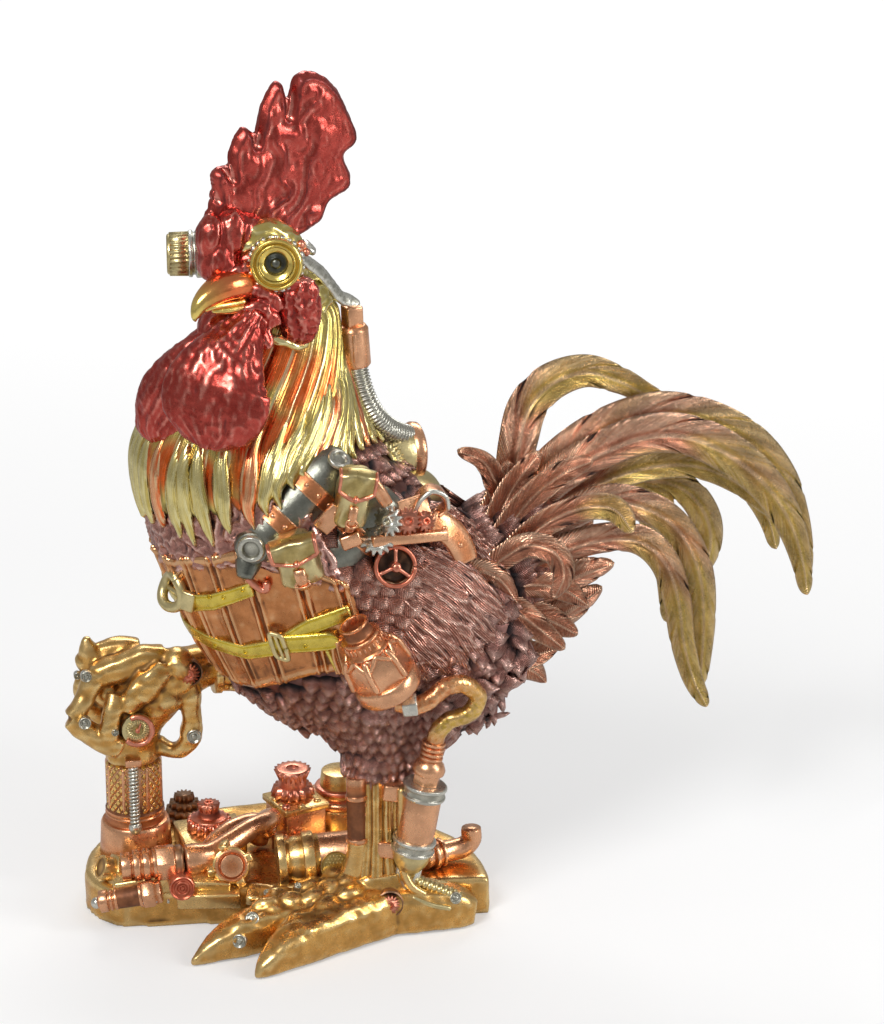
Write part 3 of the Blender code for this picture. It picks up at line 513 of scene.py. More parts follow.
def base_copper(bm):
    """The union and its pipes, the spark plug, the nut's cap, the gearbox and the valve."""
    along = (1, 0, 0.05)
    turned(bm, (-62.5, -24, 22.6), along,
           ((0, 4.9), (3.2, 4.9), (3.2, 4.2), (4.2, 4.2), (4.2, 5.5), (6.4, 5.5), (6.4, 4.9),
            (7.6, 4.9), (7.6, 5.6), (9.8, 5.6), (9.8, 4.9), (11, 4.9), (11, 5.6), (13, 5.4)),
           36, 0.2)
    turned(bm, (-50.5, -24, 23.2), along, ((0, 6.6), (6.6, 6.6)), 6, 0.5, 12)
    tube(bm, [(-41, -24, 23.6, 5.4), (-36.5, -23.5, 23.8, 5.4), (-31, -22, 24.2, 4.6),
              (-24, -18, 26.6, 3.9), (-17, -13, 28.4, 3.8), (-11, -8, 28.6, 3.8),
              (-8.5, -2, 27, 3.8), (-11, 3, 22.5, 3.8), (-13, 5, 14, 3.8)], 20, 46)
    tube(bm, [(-33, -16, 14, 3.6), (-31, -14, 22, 3.6), (-24, -8, 26, 3.4), (-14, -2, 26, 3.4),
              (-8, 0, 20, 3.4)], 16, 30)
    plug = (1, -0.10, 0.17)
    turned(bm, (-71.8, -28, 11.6), plug,
           ((0.6, 2), (1.4, 2.6), (1.4, 3.9), (4.2, 3.9), (4.2, 3.1), (5, 3.1), (5, 3.7),
            (5.9, 3.7), (5.9, 3.1), (6.7, 3.1), (6.7, 3.7), (7.6, 3.7), (7.6, 3.5), (15.4, 3.7),
            (15.4, 4.3), (16.4, 4.3)), 32, 0.15)
    turned(bm, (-55.6, -29.7, 14.4), plug, ((0, 5.1), (3.6, 5.1), (4.8, 4.2), (6.6, 4.2)), 6, 0.4, 8)
    turned(bm, (-25, -26.6, 22.2), (0.05, -0.93, 0.36),
           ((2.2, 5.6), (4.4, 5.6), (4.6, 4.7), (4.1, 4.4), (4.1, 4.2), (5.4, 3.9), (5.5, 1)), 36, 0.15)
    box(bm, (1.8, 12, 20.4), (16, 16.6, 12), (0, 0, 22), 0.8)
    for x, y in ((-4.6, 2.4), (2.6, 0.2)):
        turned(bm, (x, y, 12.4), UP, ((0, 3.4), (5, 3.2), (6.5, 2)), 20, 0.4)
    turned(bm, (6.5, -20.6, 20.1), along, ((0, 8.3), (28, 8)), 40, 0.3)
    turned(bm, (18.6, 20, 22.2), UP, ((0, 11.6), (0.8, 12), (2.4, 12), (3.2, 11.2),
                                      (3.3, 8)), 48, 0.3)
    tube(bm, [(42, -24, 18.5, 4.4), (47, -21, 18.5, 4.2), (53, -18.5, 18.2, 3.9), (58, -17.2, 18.6, 3.8),
              (60.9, -17, 21.2, 3.6), (61, -17, 24.4, 3.6), (61, -17, 26.2, 3.4)], 20, 36)
    turned(bm, (46, -21.6, 18.5), (1, 0.42, 0), ((0, 5.4), (1.6, 5.4), (1.6, 4.6), (3, 4.6),
                                                 (3, 5.2), (4.4, 5.2)), 28, 0.2)


def base_red(bm):
    """The knob, the red washers and stud, and the gears of both stacks."""
    turned(bm, (-42.2, -26, 17), (0, -1, 0.12),
           ((0, 4.4), (8.2, 4.4), (8.6, 3.9), (8, 3.4), (8, 2.8), (8.7, 2.5), (8.7, 1.9),
            (8, 1.5), (8, 0.9), (8.8, 0.5)), 32, 0.1)
    turned(bm, (18.6, 20, 26.8), UP, ((0, 8.8), (0.8, 9.2), (1.6, 8.8), (1.8, 6.5)), 40, 0.2)
    gear(bm, (-29.8, 5, 21.4), UP, 16, 8, 6.6, 3.4, 0.94)
    turned(bm, (-29.8, 5, 24.6), UP, ((0, 6.8), (1.2, 6.4), (1.8, 4.4), (3.4, 3.6), (6, 3.6)), 32)
    gear(bm, (-29.8, 5, 28.6), UP, 14, 3.6, 3, 2.6, 1.12, 1.8)
    turned(bm, (1, 14, 28), UP, ((0, 5.2), (9, 5)), 28, 0.3)
    gear(bm, (1, 14, 28.6), UP, 16, 8, 6.2, 3.4, 0.86)
    gear(bm, (1, 14, 34.4), UP, 18, 5, 4.2, 4, 1.34)
    turned(bm, (1, 14, 37.6), UP, ((0, 6.2), (1.1, 5.6), (1.2, 2.2), (0.2, 1.9)), 32, 0.2)
    stud(bm, (-2.4, 3.4, 28.4), UP, 1.7)
    for k in range(16):
        stud(bm, Vector((-29.8, 5, 24.6)) + on_ring(7, math.pi * k / 8), UP, 1, 0.9)


def base_silver(bm):
    """The spark plug's ball, the nut behind the leg and small pins."""
    part = bmesh.new()
    bmesh.ops.create_uvsphere(part, u_segments=20, v_segments=12, radius=2)
    add(bm, part, Matrix.Translation((-71.6, -28, 11.4)))
    turned(bm, (35.2, -37, 15.6), (0.16, -0.02, 1), ((0, 5.2), (8.6, 5.2)), 6, 0.5, 20)
    for step in range(3):
        turned(bm, (-55.5 + 4.2 * step, -33.2, 13.2), (0, -0.5, 0.9), ((-1, 0.6), (0.4, 0.5)), 8, 0.1)


def base_dark(bm):
    """The ring behind the nut and the worn gears at the back."""
    turned(bm, (-44.4, -24, 23.5), (1, 0, 0.05), ((0, 5), (0.8, 5.7), (2.8, 5.7), (3.4, 5)), 32)
    for lift, wide in ((13, 8.2), (15.8, 7), (18.4, 5.6), (21, 3.8)):
        gear(bm, (-37, 30, lift), UP, 13, wide, wide - 1.3, 2.4, 0.95)
    gear(bm, (-50, 26, 13), UP, 12, 6.4, 5.2, 3.2, 0.95, 2.4)


def grille(bm):
    """The pierced oval plate on the valve, rows of round dimples in a rim."""
    middle, way = Vector((11.4, -29.2, 20.6)), Vector((0.05, -0.97, 0.25))
    place = standing(middle, way)
    part = bmesh.new()
    bmesh.ops.create_circle(part, cap_ends=True, segments=28, radius=5.2)
    raised = raise_faces(part, part.faces[:], 1.2)
    lid = [face for face in part.faces if all(vert in raised for vert in face.verts)]
    bmesh.ops.inset_region(part, faces=lid, thickness=0.7, depth=-0.5)
    ease(part, 0.15)
    add(bm, part, place)
    for row in range(-3, 4):
        for step in range(-3, 4):
            x, y = 1.25 * step + 0.6 * (row % 2), 1.15 * row
            if math.hypot(x, y) < 4.2:
                stud(bm, place @ Vector((x, y, 0.7)), way, 0.42, 0.9)


for name, make, finish, slot in (
        ("base_gold_fittings", base_gold, warm_gold, "antique_gold"),
        ("base_copper_fittings", base_copper, bright_copper, "copper_paint"),
        ("base_red_fittings", base_red, red_copper, "red_lacquer"),
        ("base_silver_fittings", base_silver, old_silver, "silver_paint"),
        ("base_dark_fittings", base_dark, dark_bronze, "gunmetal_paint"),
        ("valve_grille", grille, brass_gold, "antique_gold")):
    piece(name, make, finish)

# The column: a copper post in a collar on the base, two diamond-knurled panels down its face
# with a silver coil spring between them. It carries the raised foot and is cast with both.

COLUMN_X, COLUMN_Y, COLUMN_RADIUS = -55.7, 8, 10


def column(bm):
    """The post, its foot ring and its collar."""
    turned(bm, (COLUMN_X, COLUMN_Y, 12), UP,
           ((0, 13), (6, 12.6), (12.8, 12.2), (14, 11.6), (14.2, 10.4), (16.4, 10.3),
            (17, 10.6), (17.6, 10.1), (18.6, 10.5), (19.4, 10), (36.5, 10), (38, 9.2), (46, 8.8)),
           56, 0.2)
    box(bm, (COLUMN_X - 0.5, COLUMN_Y - 10.6, 52.2), (5.6, 3.4, 2.8), (0, 0, 0), 0.4)
    for side in (-1, 1):
        for edge in (-4.1, 4.1):
            middle = side * 43 + edge * 4.6
            angle = math.radians(270 + middle)
            tube(bm, [(COLUMN_X + 10 * math.cos(angle), COLUMN_Y + 10 * math.sin(angle), z, 0.7)
                      for z in (30.5, 40, 51)], 8, 6)


def knurled(middle_degrees):
    """One panel of diamond knurling wrapped on the post."""
    bm = bmesh.new()
    rows, columns = 110, 80

    def diamonds(along, around):
        across = (around - 0.5) * 11
        up = 31.2 + along * 18.6
        one = np.abs((1.25 * across + up) / 3.4 % 1 - 0.5)
        two = np.abs((1.25 * across - up) / 3.4 % 1 - 0.5)
        return across, up, np.minimum(one, two)

    def place(along, around):
        across, up, high = diamonds(along, around)
        lift = np.minimum(4 * high, 0.8) + 0.1
        edge = np.minimum(np.minimum(around, 1 - around) * 11, np.minimum(along, 1 - along) * 18.6)
        reach = COLUMN_RADIUS - 0.5 + np.minimum(lift, edge * 1.5 - 0.1)
        angle = np.radians(270 + middle_degrees) + across / COLUMN_RADIUS
        return np.stack([COLUMN_X + reach * np.cos(angle), COLUMN_Y + reach * np.sin(angle), up], 1)
    wrap(bm, rows, columns, place,
         shade=lambda along, around: np.clip(8 * diamonds(along, around)[2] - 0.6, 0, 1))
    rim = [edge for edge in bm.edges if edge.is_boundary]
    back = bmesh.ops.extrude_edge_only(bm, edges=rim)["geom"]
    for vert in back:
        if isinstance(vert, bmesh.types.BMVert):
            vert.co = Vector((COLUMN_X, COLUMN_Y, vert.co.z)).lerp(vert.co, 0.85)
    bmesh.ops.holes_fill(bm, edges=[edge for edge in bm.edges if edge.is_boundary])
    return bm


def column_spring(bm):
    """The spring, a close coil with a rounded foot."""
    turns = 17
    keys = []
    for step in range(turns * 8 + 1):
        angle = 2 * math.pi * step / 8
        keys.append((COLUMN_X - 0.6 + 1.35 * math.cos(angle), COLUMN_Y - 11.2 + 1.5 * math.sin(angle),
                     27.6 + 23.2 * step / (turns * 8), 0.62))
    tube(bm, keys, 6, turns * 14)
    turned(bm, (COLUMN_X - 0.6, COLUMN_Y - 11.2, 25), UP, ((0, 1.6), (2, 2.4), (3.6, 2.2)), 16)


knurl_paint = paint("knurl_paint", (0.45, 0.15, 0.06), (1, 0.7, 0.42), (0.06, 0.02, 0.008),
                    second=(0.86, 0.56, 0.17), scale=150, roughness=0.22)
piece("column_post", column, bright_copper)
for name, degrees in (("knurling_left", -45), ("knurling_right", 41)):
    piece(name, knurled(degrees), knurl_paint, reach=0.35)
piece("column_spring", column_spring, old_silver, reach=0.3)

# The raised foot: a jointed metal claw that reaches forward from the body and grips the
# column's head. Its joints carry small silver screws; a gauge and a gear are set in its side.


def limb(bm, keys, face, rows, columns, power=2, relief=None, floor=None, **marks):
    """A closed form along keys of x, y, z, half width and half depth. Face is its depth's way,
    and a power over 2 squares it."""
    path = curve(keys, rows + 1)
    centre = path[:, :3]
    wide, deep = np.maximum(path[:, 3], 0), np.maximum(path[:, 4], 0)
    tangent = unit(np.gradient(centre, axis=0))
    across = unit(np.cross(tangent, np.asarray(face, dtype=float)))
    through = np.cross(across, tangent)

    def place(along, around):
        row = np.rint(along * rows).astype(int)
        closed = np.where((row == 0) | (row == rows), 0, 1)
        x, y = np.cos(2 * math.pi * around), np.sin(2 * math.pi * around)
        size = (np.abs(x) ** power + np.abs(y) ** power) ** (-1 / power) * closed
        more = relief(along, around) * closed if relief is not None else 0
        points = (centre[row] + across[row] * (x * (size * wide[row] + more))[:, None]
                  + through[row] * (y * (size * deep[row] + more))[:, None])
        if floor is not None:
            points[:, 2] = np.maximum(points[:, 2], floor)
        return points
    wrap(bm, rows, columns, place, **marks)
DIAL_AXIS = (0, -1, 0.1)


def raised_foot(bm):
    """Arm, wrist, palm and the jointed toes, melted into one skin and creased."""
    limb(bm, [(-12, 14, 80, 9, 10), (-20, 14, 82, 8, 9), (-28, 12, 82, 7, 8), (-36, 9, 81, 8, 9),
              (-45, 6, 79, 11, 11), (-53, 6, 71, 11.5, 10.5), (-56, 7, 60, 9.5, 9.5),
              (-56, 8, 49, 9.6, 9.6)], SIDEWAYS, 40, 24, 2.6)
    toes = (
        [(-43, 4, 88, 5, 5), (-50, 3, 88.5, 5.5, 5), (-57, 2, 87, 5, 4.6), (-64, 1, 85.5, 4.6, 4.2),
         (-70, 0, 84, 4, 4)],
        [(-52, 10, 88, 5, 5), (-60, 10, 89.5, 5, 4.6), (-68, 9, 87.5, 4.6, 4.2),
         (-74, 9, 84.5, 3.4, 3.4)],
        [(-66, 8, 85, 3.8, 3.6), (-69.6, 8, 90.5, 3.6, 3.4), (-70.6, 8, 96.4, 1, 1)],
        [(-68, 0, 86.5, 4.2, 4), (-70.5, -2, 81, 3.5, 3.6), (-73.5, -3, 75.5, 3.4, 3.6),
         (-76.5, -4, 70.5, 4.2, 4.2)],
        [(-78, -4, 71.8, 3.8, 4.2), (-73, -5, 66.8, 4, 4.2), (-66, -6, 62.4, 4.2, 4.2),
         (-60, -6, 59.2, 3.8, 3.6)],
        [(-61, -3, 79.5, 3.6, 3.6), (-63, -6, 73, 3.4, 3.4), (-64.5, -7, 66, 3.6, 3.4),
         (-64.5, -6, 61.2, 3, 2.8)],
        [(-70, 10, 82, 4.6, 4), (-70.6, 10, 75, 5, 4.2), (-68, 10, 68, 4.6, 4.2),
         (-60, 11, 61, 4.2, 4)],
        [(-38, 4, 80, 5, 5), (-36, 2, 75.5, 4.4, 4.6), (-35.2, 2, 68, 3.3, 4.2),
         (-35.2, 2, 61, 3.8, 4.2), (-36.8, 2, 56.6, 3.4, 4), (-41.6, 4, 53.2, 2.6, 3.4),
         (-49, 6, 55.4, 3.6, 3.6)],
        [(-49, -2, 84, 4.6, 4.2), (-54, -4.5, 79, 4.6, 3.4), (-59, -5, 73, 3.6, 3)],
        [(-44, -1, 88, 3.6, 3.6), (-49, -4.4, 83, 4.4, 3.4), (-53.5, -5.4, 77.5, 3.4, 3.2)],
    )
    for keys in toes:
        limb(bm, keys, SIDEWAYS, 22, 16, 2.8)
    for x, y, z, reach in ((-40, 0, 87, 6.2), (-44, -1.5, 75, 6), (-38.5, 1.5, 79.5, 6.4),
                           (-55, 0, 66.5, 7.6), (-64, 6, 76, 6.5)):
        part = bmesh.new()
        bmesh.ops.create_icosphere(part, subdivisions=3, radius=reach)
        add(bm, part, Matrix.Translation((x, y + 1.5, z)))
    mesh = recast(bm, 0.68, 2)

    def creases(points):
        return (0.55 * grain(points, 8, 1.5, (1.4, 1, 0.7))
                + 0.3 * grain(points, 3.4, 6.1, (1.5, 1, 0.7)))
    return press(mesh, creases)


def arm_sleeve(bm):
    """The sheet-metal sleeve between the wrist and the body, lapped and ribbed."""
    keys = [(-1, 14, 79, 9.4, 10.2), (-10, 14, 80.5, 9, 10), (-19, 14, 82, 8.6, 9.6),
            (-27.5, 13, 82.4, 8.2, 9.2)]

    def lap(along, around):
        rib = np.where(np.abs(around * 12 % 1 - 0.5) > 0.41, 0, 0.7)
        step = np.where(along > 0.62, 0.9, 0) + np.where(along > 0.9, 0.7, 0)
        return rib + step
    limb(bm, keys, SIDEWAYS, 60, 72, 3.2, lap)
    tube(bm, [(-22, 3.2, 76, 1), (-14, 3, 74.8, 1), (-5, 3, 74, 1)], 8, 20)
    tube(bm, [(-26, 4.5, 90, 1.1), (-16, 4.2, 90.2, 1.1), (-6, 4.2, 88.6, 1.1)], 8, 20)


def gauge_dial(bm):
    """The dial: fine raised lines that spread from its middle."""
    turned(bm, (-54.6, -6, 67), DIAL_AXIS, ((0, 5.4), (3.1, 5.4), (3.1, 1)), 36, 0.1)
    for k in range(24):
        angle = 2 * math.pi * k / 24
        way = Vector((math.cos(angle), 0.1 * math.sin(angle), math.sin(angle)))
        base = Vector((-54.6, -9.2, 67.3))
        tube(bm, [(*(base + way * 1.4), 0.24), (*(base + way * 2.8), 0.3), (*(base + way * 4.3), 0.3)], 5,
             3)


def foot_red(bm):
    """The gauge's rim and hand, and the wrist's gear."""
    rim = [(-54.6 + 5 * math.cos(a), -9.6 + 0.5 * math.sin(a), 67.3 + 5 * math.sin(a), 0.95)
           for a in np.linspace(-2.5, 2.1, 20)]
    tube(bm, rim, 8, 60)
    tube(bm, [(-54.6, -9.8, 67.2, 0.5), (-54, -10, 68.6, 0.4), (-53.4, -10, 70.4, 0.3)], 6, 8)
    stud(bm, (-54.6, -9.6, 67.2), (0, -1, 0), 0.9)
    gear(bm, (-35.9, -1.4, 84.4), DIAL_AXIS, 16, 3.9, 2.9, 1.6, 0.9, 1.7)


def foot_silver(bm):
    """The screws in the joints."""
    for x, y, z, radius in ((-71.4, -4.2, 86.6, 2), (-72.6, -8.4, 71, 2.2), (-62.4, -9.6, 67.4, 1.3),
                            (-34.8, -2.8, 61, 2.6), (-74.2, 5.2, 83, 1.3)):
        screw(bm, (x, y, z), (0, -1, 0.12), radius)


piece("raised_foot", raised_foot, warm_gold, reach=0.22, rounds=4)
piece("arm_sleeve", arm_sleeve, warm_gold)
for name, make, finish, slot in (("foot_gauge", gauge_dial, brass_gold, "antique_gold"),
                                 ("foot_red_details", foot_red, red_copper, "red_lacquer"),
                                 ("foot_screws", foot_silver, old_silver, "silver_paint")):
    piece(name, make, finish)
bm = bmesh.new()
turned(bm, (-35.9, 0.6, 84.4), DIAL_AXIS, ((0, 4.9), (2.2, 4.9), (2.4, 4.4), (0.6, 4.2), (0.6, 0.5)), 32,
       0.1)
piece("wrist_recess", bm, dark_bronze)

# The standing foot and shank: long toes with steep sides that run over the base's front edge
# to the ground, armoured and wrinkled on top, and a fluted metal shank with a copper pipe
# down its side. One casting with the base, in the same gold.

ANKLE_AXIS = (0, -1, 0.16)


def standing_foot(bm):
    """Toes, claws, ankle and heel, melted into one skin and wrinkled on top."""
    toes = (
        [(26, -31, 7, 9, 10), (12, -36, 7.4, 8.6, 9.6), (-2, -41, 7, 7.6, 9), (-14, -45, 6.4, 7.2, 8.2),
         (-24, -49, 5.6, 6.2, 7.4), (-34, -53.6, 3.4, 3.6, 4.6), (-41.6, -57.2, 0.8, 0.5, 0.6)],
        [(30, -35, 7, 10, 10), (20, -42, 7, 9.4, 9.8), (8, -49, 6.6, 8.4, 9.2), (-3, -56, 6, 7.4, 8.2),
         (-10, -61.2, 5, 6, 6.8), (-16, -66.4, 3, 3.6, 4.4), (-20.8, -69.8, 0.8, 0.5, 0.6)],
        [(20, -36, 7, 9, 10), (34, -38, 7, 8.6, 9.6), (46, -38, 6.4, 7.6, 8.6), (54, -37.6, 5.2, 6.4, 7.4),
         (59.4, -37.4, 4.2, 4.2, 4.8)],
    )
    for keys in toes:
        limb(bm, keys, UP, 44, 22, 3.4, floor=0.3)
    limb(bm, [(27, -33, 6, 14, 12), (26.5, -32, 14, 13, 10.5), (26, -31, 20, 11.5, 9.6)], SIDEWAYS, 16, 24,
         2.6)
    lumps = (
        (-19, -46, 11.5, 5.4, 4, 3.4), (-12, -44, 13.6, 4.6, 5, 3), (-5, -42, 14.2, 5, 4.4, 3.6),
        (3, -42, 15, 5.6, 4, 3.6), (9, -38, 16.4, 5.4, 4.6, 3.6), (15, -37, 17.4, 5, 4.4, 3.8),
        (-2, -51.5, 12.4, 5.4, 4.4, 3), (7, -47, 14.6, 5.6, 4.2, 3), (15, -42, 16, 6, 4.4, 3.4),
        (-9, -36.6, 12.8, 6.6, 5, 4), (2, -34.4, 14.6, 7, 4.6, 4.2), (12, -31.6, 17.5, 6, 4.6, 4.6),
    )
    for x, y, z, a, b, c in lumps:
        part = bmesh.new()
        bmesh.ops.create_icosphere(part, subdivisions=3, radius=1)
        bmesh.ops.scale(part, verts=part.verts, vec=(a, b, c))
        add(bm, part, Matrix.Translation((x, y, z)) @ Matrix.Rotation(0.5, 4, 'Z'))
    box(bm, (-13.5, -33.4, 12.6), (13, 7.5, 4), (24, 6, -14), 0.6)
    tube(bm, [(-19, -43, 14, 1.8), (-15, -44.8, 15.6, 1.8), (-10, -44, 16.2, 1.8)], 12, 12)
    mesh = recast(bm, 0.68, 2)

    def wrinkled(points):
        top = np.clip((points[:, 2] - 8.5) / 4.5, 0, 1) * np.clip((30 - points[:, 0]) / 8, 0, 1)
        crest = 0.4 - np.abs(grain(points, 5.5, 2.2, (1.6, 0.8, 0.8)))
        even = 0.35 * grain(points, 9, 6.5) + 0.2 * grain(points, 3, 1)
        return even + top * (0.5 * grain(points, 4.4, 8.8) + 0.7 * crest)
    return level(press(mesh, wrinkled), 0.05)


def shank(bm):
    """The fluted shank, flaring to the ankle below and under the thigh above."""

    def flutes(along, around):
        deep = 1.5 * np.clip(along * 6 - 0.6, 0, 1) * np.clip((0.93 - along) * 10, 0, 1)
        wave = np.abs(np.sin(math.pi * 11 * around))
        return -deep * (1 - wave) ** 2 + 0.35 * np.sin(2 * math.pi * 33 * around) * deep * 0.3
    limb(bm, [(26, -32, 6, 13.5, 12), (26, -31.4, 12, 12, 11), (25.9, -30.6, 20, 9.8, 9.6),
              (26.2, -29, 30, 8.2, 8.8), (26.4, -27.4, 42, 8, 8.6), (26.8, -25, 52, 8.6, 8.4),
              (27, -21, 58, 8, 6.5)], SIDEWAYS, 90, 132, 2.3, flutes)
    mesh = mesh_of(bm, "shank")
    return press(mesh, lambda points: 0.25 * grain(points, 5, 3) + 0.1 * grain(points, 1.8, 5))


def foot_fairing(bm):
    """The smooth flared cover under the pipe, and the cover over the ankle."""
    limb(bm, [(15.6, -34.6, 13, 6.4, 4.4), (17.4, -34, 20, 4.8, 4.2), (18.4, -33.8, 27, 3.6, 3.6),
              (18.8, -33.6, 32.5, 3.5, 3.6)], SIDEWAYS, 30, 24, 2.4)
    tube(bm, [(33.6, -38.4, 54, 1.4), (33.4, -39.6, 40, 1.4), (33.4, -41, 26, 1.5), (36, -42.4, 18, 1.7),
              (41.8, -42.6, 13.4, 1.5)], 12, 40)


def braid(bm):
    """The plaited ridge along the heel: two crossing strands and a cord beside them."""
    for phase in (0, math.pi):
        keys = []
        for step in range(49):
            share = step / 48
            x, z = 38 + 15.5 * share, 18.2 - 5.2 * share - 1.5 * share * share
            angle = 9.6 * math.pi * share + phase
            keys.append((x, -39 - 1.7 * math.cos(angle) - 2.4 * share, z + math.sin(angle), 1.15))
        tube(bm, keys, 8, 96)
    tube(bm, [(36, -44, 14.2, 1), (43, -45.6, 11.4, 1), (50, -45.6, 9.4, 0.9)], 8, 24)
    tube(bm, [(36, -34.6, 17, 0.9), (44, -35, 15.4, 0.9), (52, -35.4, 13, 0.8)], 8, 24)


def foot_fasteners(bm):
    """Silver screws in the toes and heel."""
    screw(bm, (-19.6, -50.4, 13), (-0.1, -0.75, 0.65), 2.4)
    screw(bm, (-24.4, -55.2, 7.6), (-0.25, -0.95, 0.2), 2.5)
    screw(bm, (-8.6, -64.4, 8), (-0.3, -0.9, 0.35), 1.9)
    screw(bm, (-2.6, -37.6, 17.6), (0, -0.6, 0.8), 1.3)
    screw(bm, (-13.2, -36.2, 15), (0, -0.5, 0.9), 1.2)
    screw(bm, (51.5, -43.4, 12.4), (0.1, -0.9, 0.4), 2.1)


piece("standing_foot", standing_foot, warm_gold, reach=0.22, rounds=4)
piece("shank", shank, warm_gold, reach=0.22, rounds=3)
piece("shank_fairing", foot_fairing, warm_gold, reach=0.3)
bm = bmesh.new()
turned(bm, (18.8, -33.6, 31), (0, 0.1, 1), ((0, 3.5), (1, 4.1), (2.2, 4.1), (2.4, 3.5), (16, 3.5),
                                            (16.2, 3.9), (17.6, 3.9), (17.8, 3.5), (24, 3.5)), 36, 0.15)
for lift in (35, 38.5, 42, 45.5):
    stud(bm, (21.5, -35.4 + 0.1 * (lift - 31), lift), (0.7, -0.7, 0), 0.8)
piece("shank_pipe", bm, bright_copper)
piece("heel_braid", braid, brass_gold, reach=0.3)
piece("standing_foot_screws", foot_fasteners, old_silver)
bm = bmesh.new()
gear(bm, (28.4, -45.2, 12.6), ANKLE_AXIS, 16, 3.7, 2.8, 1.8, 0.9, 1.5)
piece("ankle_gear", bm, red_copper)
bm = bmesh.new()
turned(bm, (28.4, -41.8, 12.1), ANKLE_AXIS, ((0, 5.2), (4, 4.9), (4.4, 4.3), (2.9, 4.1), (2.9, 0.5)), 32,
       0.1)
piece("ankle_recess", bm, dark_bronze)

# The body: breast, belly, rump and thigh as one lumpy bronze form, which everything else is
# cast against. It shows between hackle and corset and in the gaps between the feathers.

plum_bronze = paint("plum_bronze", (0.43, 0.195, 0.155), (1, 0.66, 0.56), (0.014, 0.009, 0.012),
                    scale=210, roughness=0.25, glint_share=0.6, dirt_and_shade_share=0.95, lines=0.5, bump=0.25)

# Front x and z, back x and z, and half width of each slice through the trunk.
TRUNK = curve([
    (-2, 64, 58, 58, 16), (-14, 76, 70, 64, 28), (-27, 90, 74, 68, 33), (-36, 108, 75, 82, 37),
    (-43, 127, 73, 102, 39), (-47, 142, 66, 122, 40), (-49.5, 158, 52, 142, 39),
    (-48.5, 171, 39, 158, 36), (-43, 182, 27, 171, 31), (-32, 192, 21, 184, 26),
    (-24, 201, 17.5, 196, 21.5), (-17, 212, 15.5, 209, 18), (-12, 224, 14, 222, 15)], 121)


def on_trunk(along, degrees, out=0):
    """Points on the trunk and their outward directions. 180 degrees is the breast, 270 the
    side the photograph shows, and along counts the slices."""
    given = (np.asarray(values, dtype=float) for values in (along, degrees, out))
    along, degrees, out = np.broadcast_arrays(*given)
    row = [np.interp(along * 10, np.arange(121), TRUNK[:, k]) for k in range(5)]
    front = np.stack([row[0], np.zeros_like(along), row[1]], -1)
    back = np.stack([row[2], np.zeros_like(along), row[3]], -1)
    middle, half = (front + back) / 2, (back - front) / 2
    side = np.stack([np.zeros_like(along), row[4], np.zeros_like(along)], -1)
    c, s = np.cos(np.radians(degrees))[..., None], np.sin(np.radians(degrees))[..., None]
    length = np.linalg.norm(half, axis=-1, keepdims=True)
    way = unit(half / length * c / length + side / row[4][..., None] * s / row[4][..., None])
    return middle + half * c + side * s + way * out[..., None], way


def body_form(bm):
    """Trunk, rump, thigh and the root of the raised leg."""

    def trunk(along, around):
        points, _ = on_trunk(along * 9.6, around * 360, -0.4)
        middle = (on_trunk(along * 9.6, 0)[0] + on_trunk(along * 9.6, 180)[0]) / 2
        ended = (along < 1e-6) | (along > 1 - 1e-6)
        return np.where(ended[:, None], middle, points)
    wrap(bm, 80, 96, trunk)
    for keys in (
            [(40, 0, 100, 24, 27), (48, 0, 104, 29, 31), (66, -1, 118, 24, 25), (82, -3, 132, 15, 17),
             (93, -4, 143, 7, 9)],
            [(30, -6, 92, 30, 22), (30, -9, 84, 34, 26), (31, -14, 70, 28, 23), (30, -19, 60, 18.5, 16.5),
             (27.5, -23, 53, 11.5, 11), (27, -25, 46, 8.6, 8.6)],
            [(26, 12, 92, 25, 23), (4, 15, 84, 18, 19), (-12, 15, 80, 10.5, 12.5)]):
        limb(bm, keys, SIDEWAYS, 36, 48)
    for y in (-29, 29):
        part = bmesh.new()
        bmesh.ops.create_uvsphere(part, u_segments=40, v_segments=24, radius=1)
        bmesh.ops.scale(part, verts=part.verts, vec=(42, 10.5, 23))
        add(bm, part, Matrix.Translation((41, y, 113)) @ Matrix.Rotation(math.radians(32), 4, 'Y'))
    mesh = recast(bm, 1.7, 3)

    def lumps(points):
        breast = np.clip((points[:, 2] - 118) / 14, 0, 1) * np.clip((-8 - points[:, 0]) / 8, 0, 1)
        tufts = 1.5 * grain(points, 4.6, 3.1) + 0.9 * np.abs(grain(points, 2.6, 9.9)) + 0.5
        return 0.5 * grain(points, 6, 0.7) + breast * tufts
    return press(mesh, lumps)


def skin_of(made):
    """A piece's skin in millimetres, for lines to be cast on."""
    return BVHTree.FromPolygons([vert.co * 1000 for vert in made.data.vertices],
                                [face.vertices for face in made.data.polygons])


# A darker plum than the feathers' for the body, as painted shade: it shows only in the gaps between them.
plum_painted_shade = paint("plum_painted_shade", (0.16, 0.07, 0.06), (0.6, 0.34, 0.28), (0.012, 0.008, 0.012),
                   scale=210, roughness=0.36, dirt_and_shade_share=0.95)
body_tree = skin_of(piece("body_form", body_form, plum_painted_shade, reach=0.5, rounds=3))

# The corset: copper plates with doubled seams, a turned lip above and below, and
# yellow-gold belts buckled over it. It is raised on the body in the same casting.

corset_copper = paint("corset_copper", (0.62, 0.245, 0.088), (1, 0.64, 0.34), (0.07, 0.025, 0.01),
                      scale=110, roughness=0.22)
belt_gold = paint("belt_gold", (0.66, 0.47, 0.035), (1, 0.86, 0.28), (0.09, 0.045, 0.006),
                  scale=230, roughness=0.24)
SEAMS = (100, 118, 133, 147, 160, 174, 187, 200, 213, 227, 241, 258.5, 272)


def flank(degrees):
    """How far round from the breast a point lies, both flanks alike."""
    return np.abs(np.asarray(degrees, dtype=float) % 360 - 180)


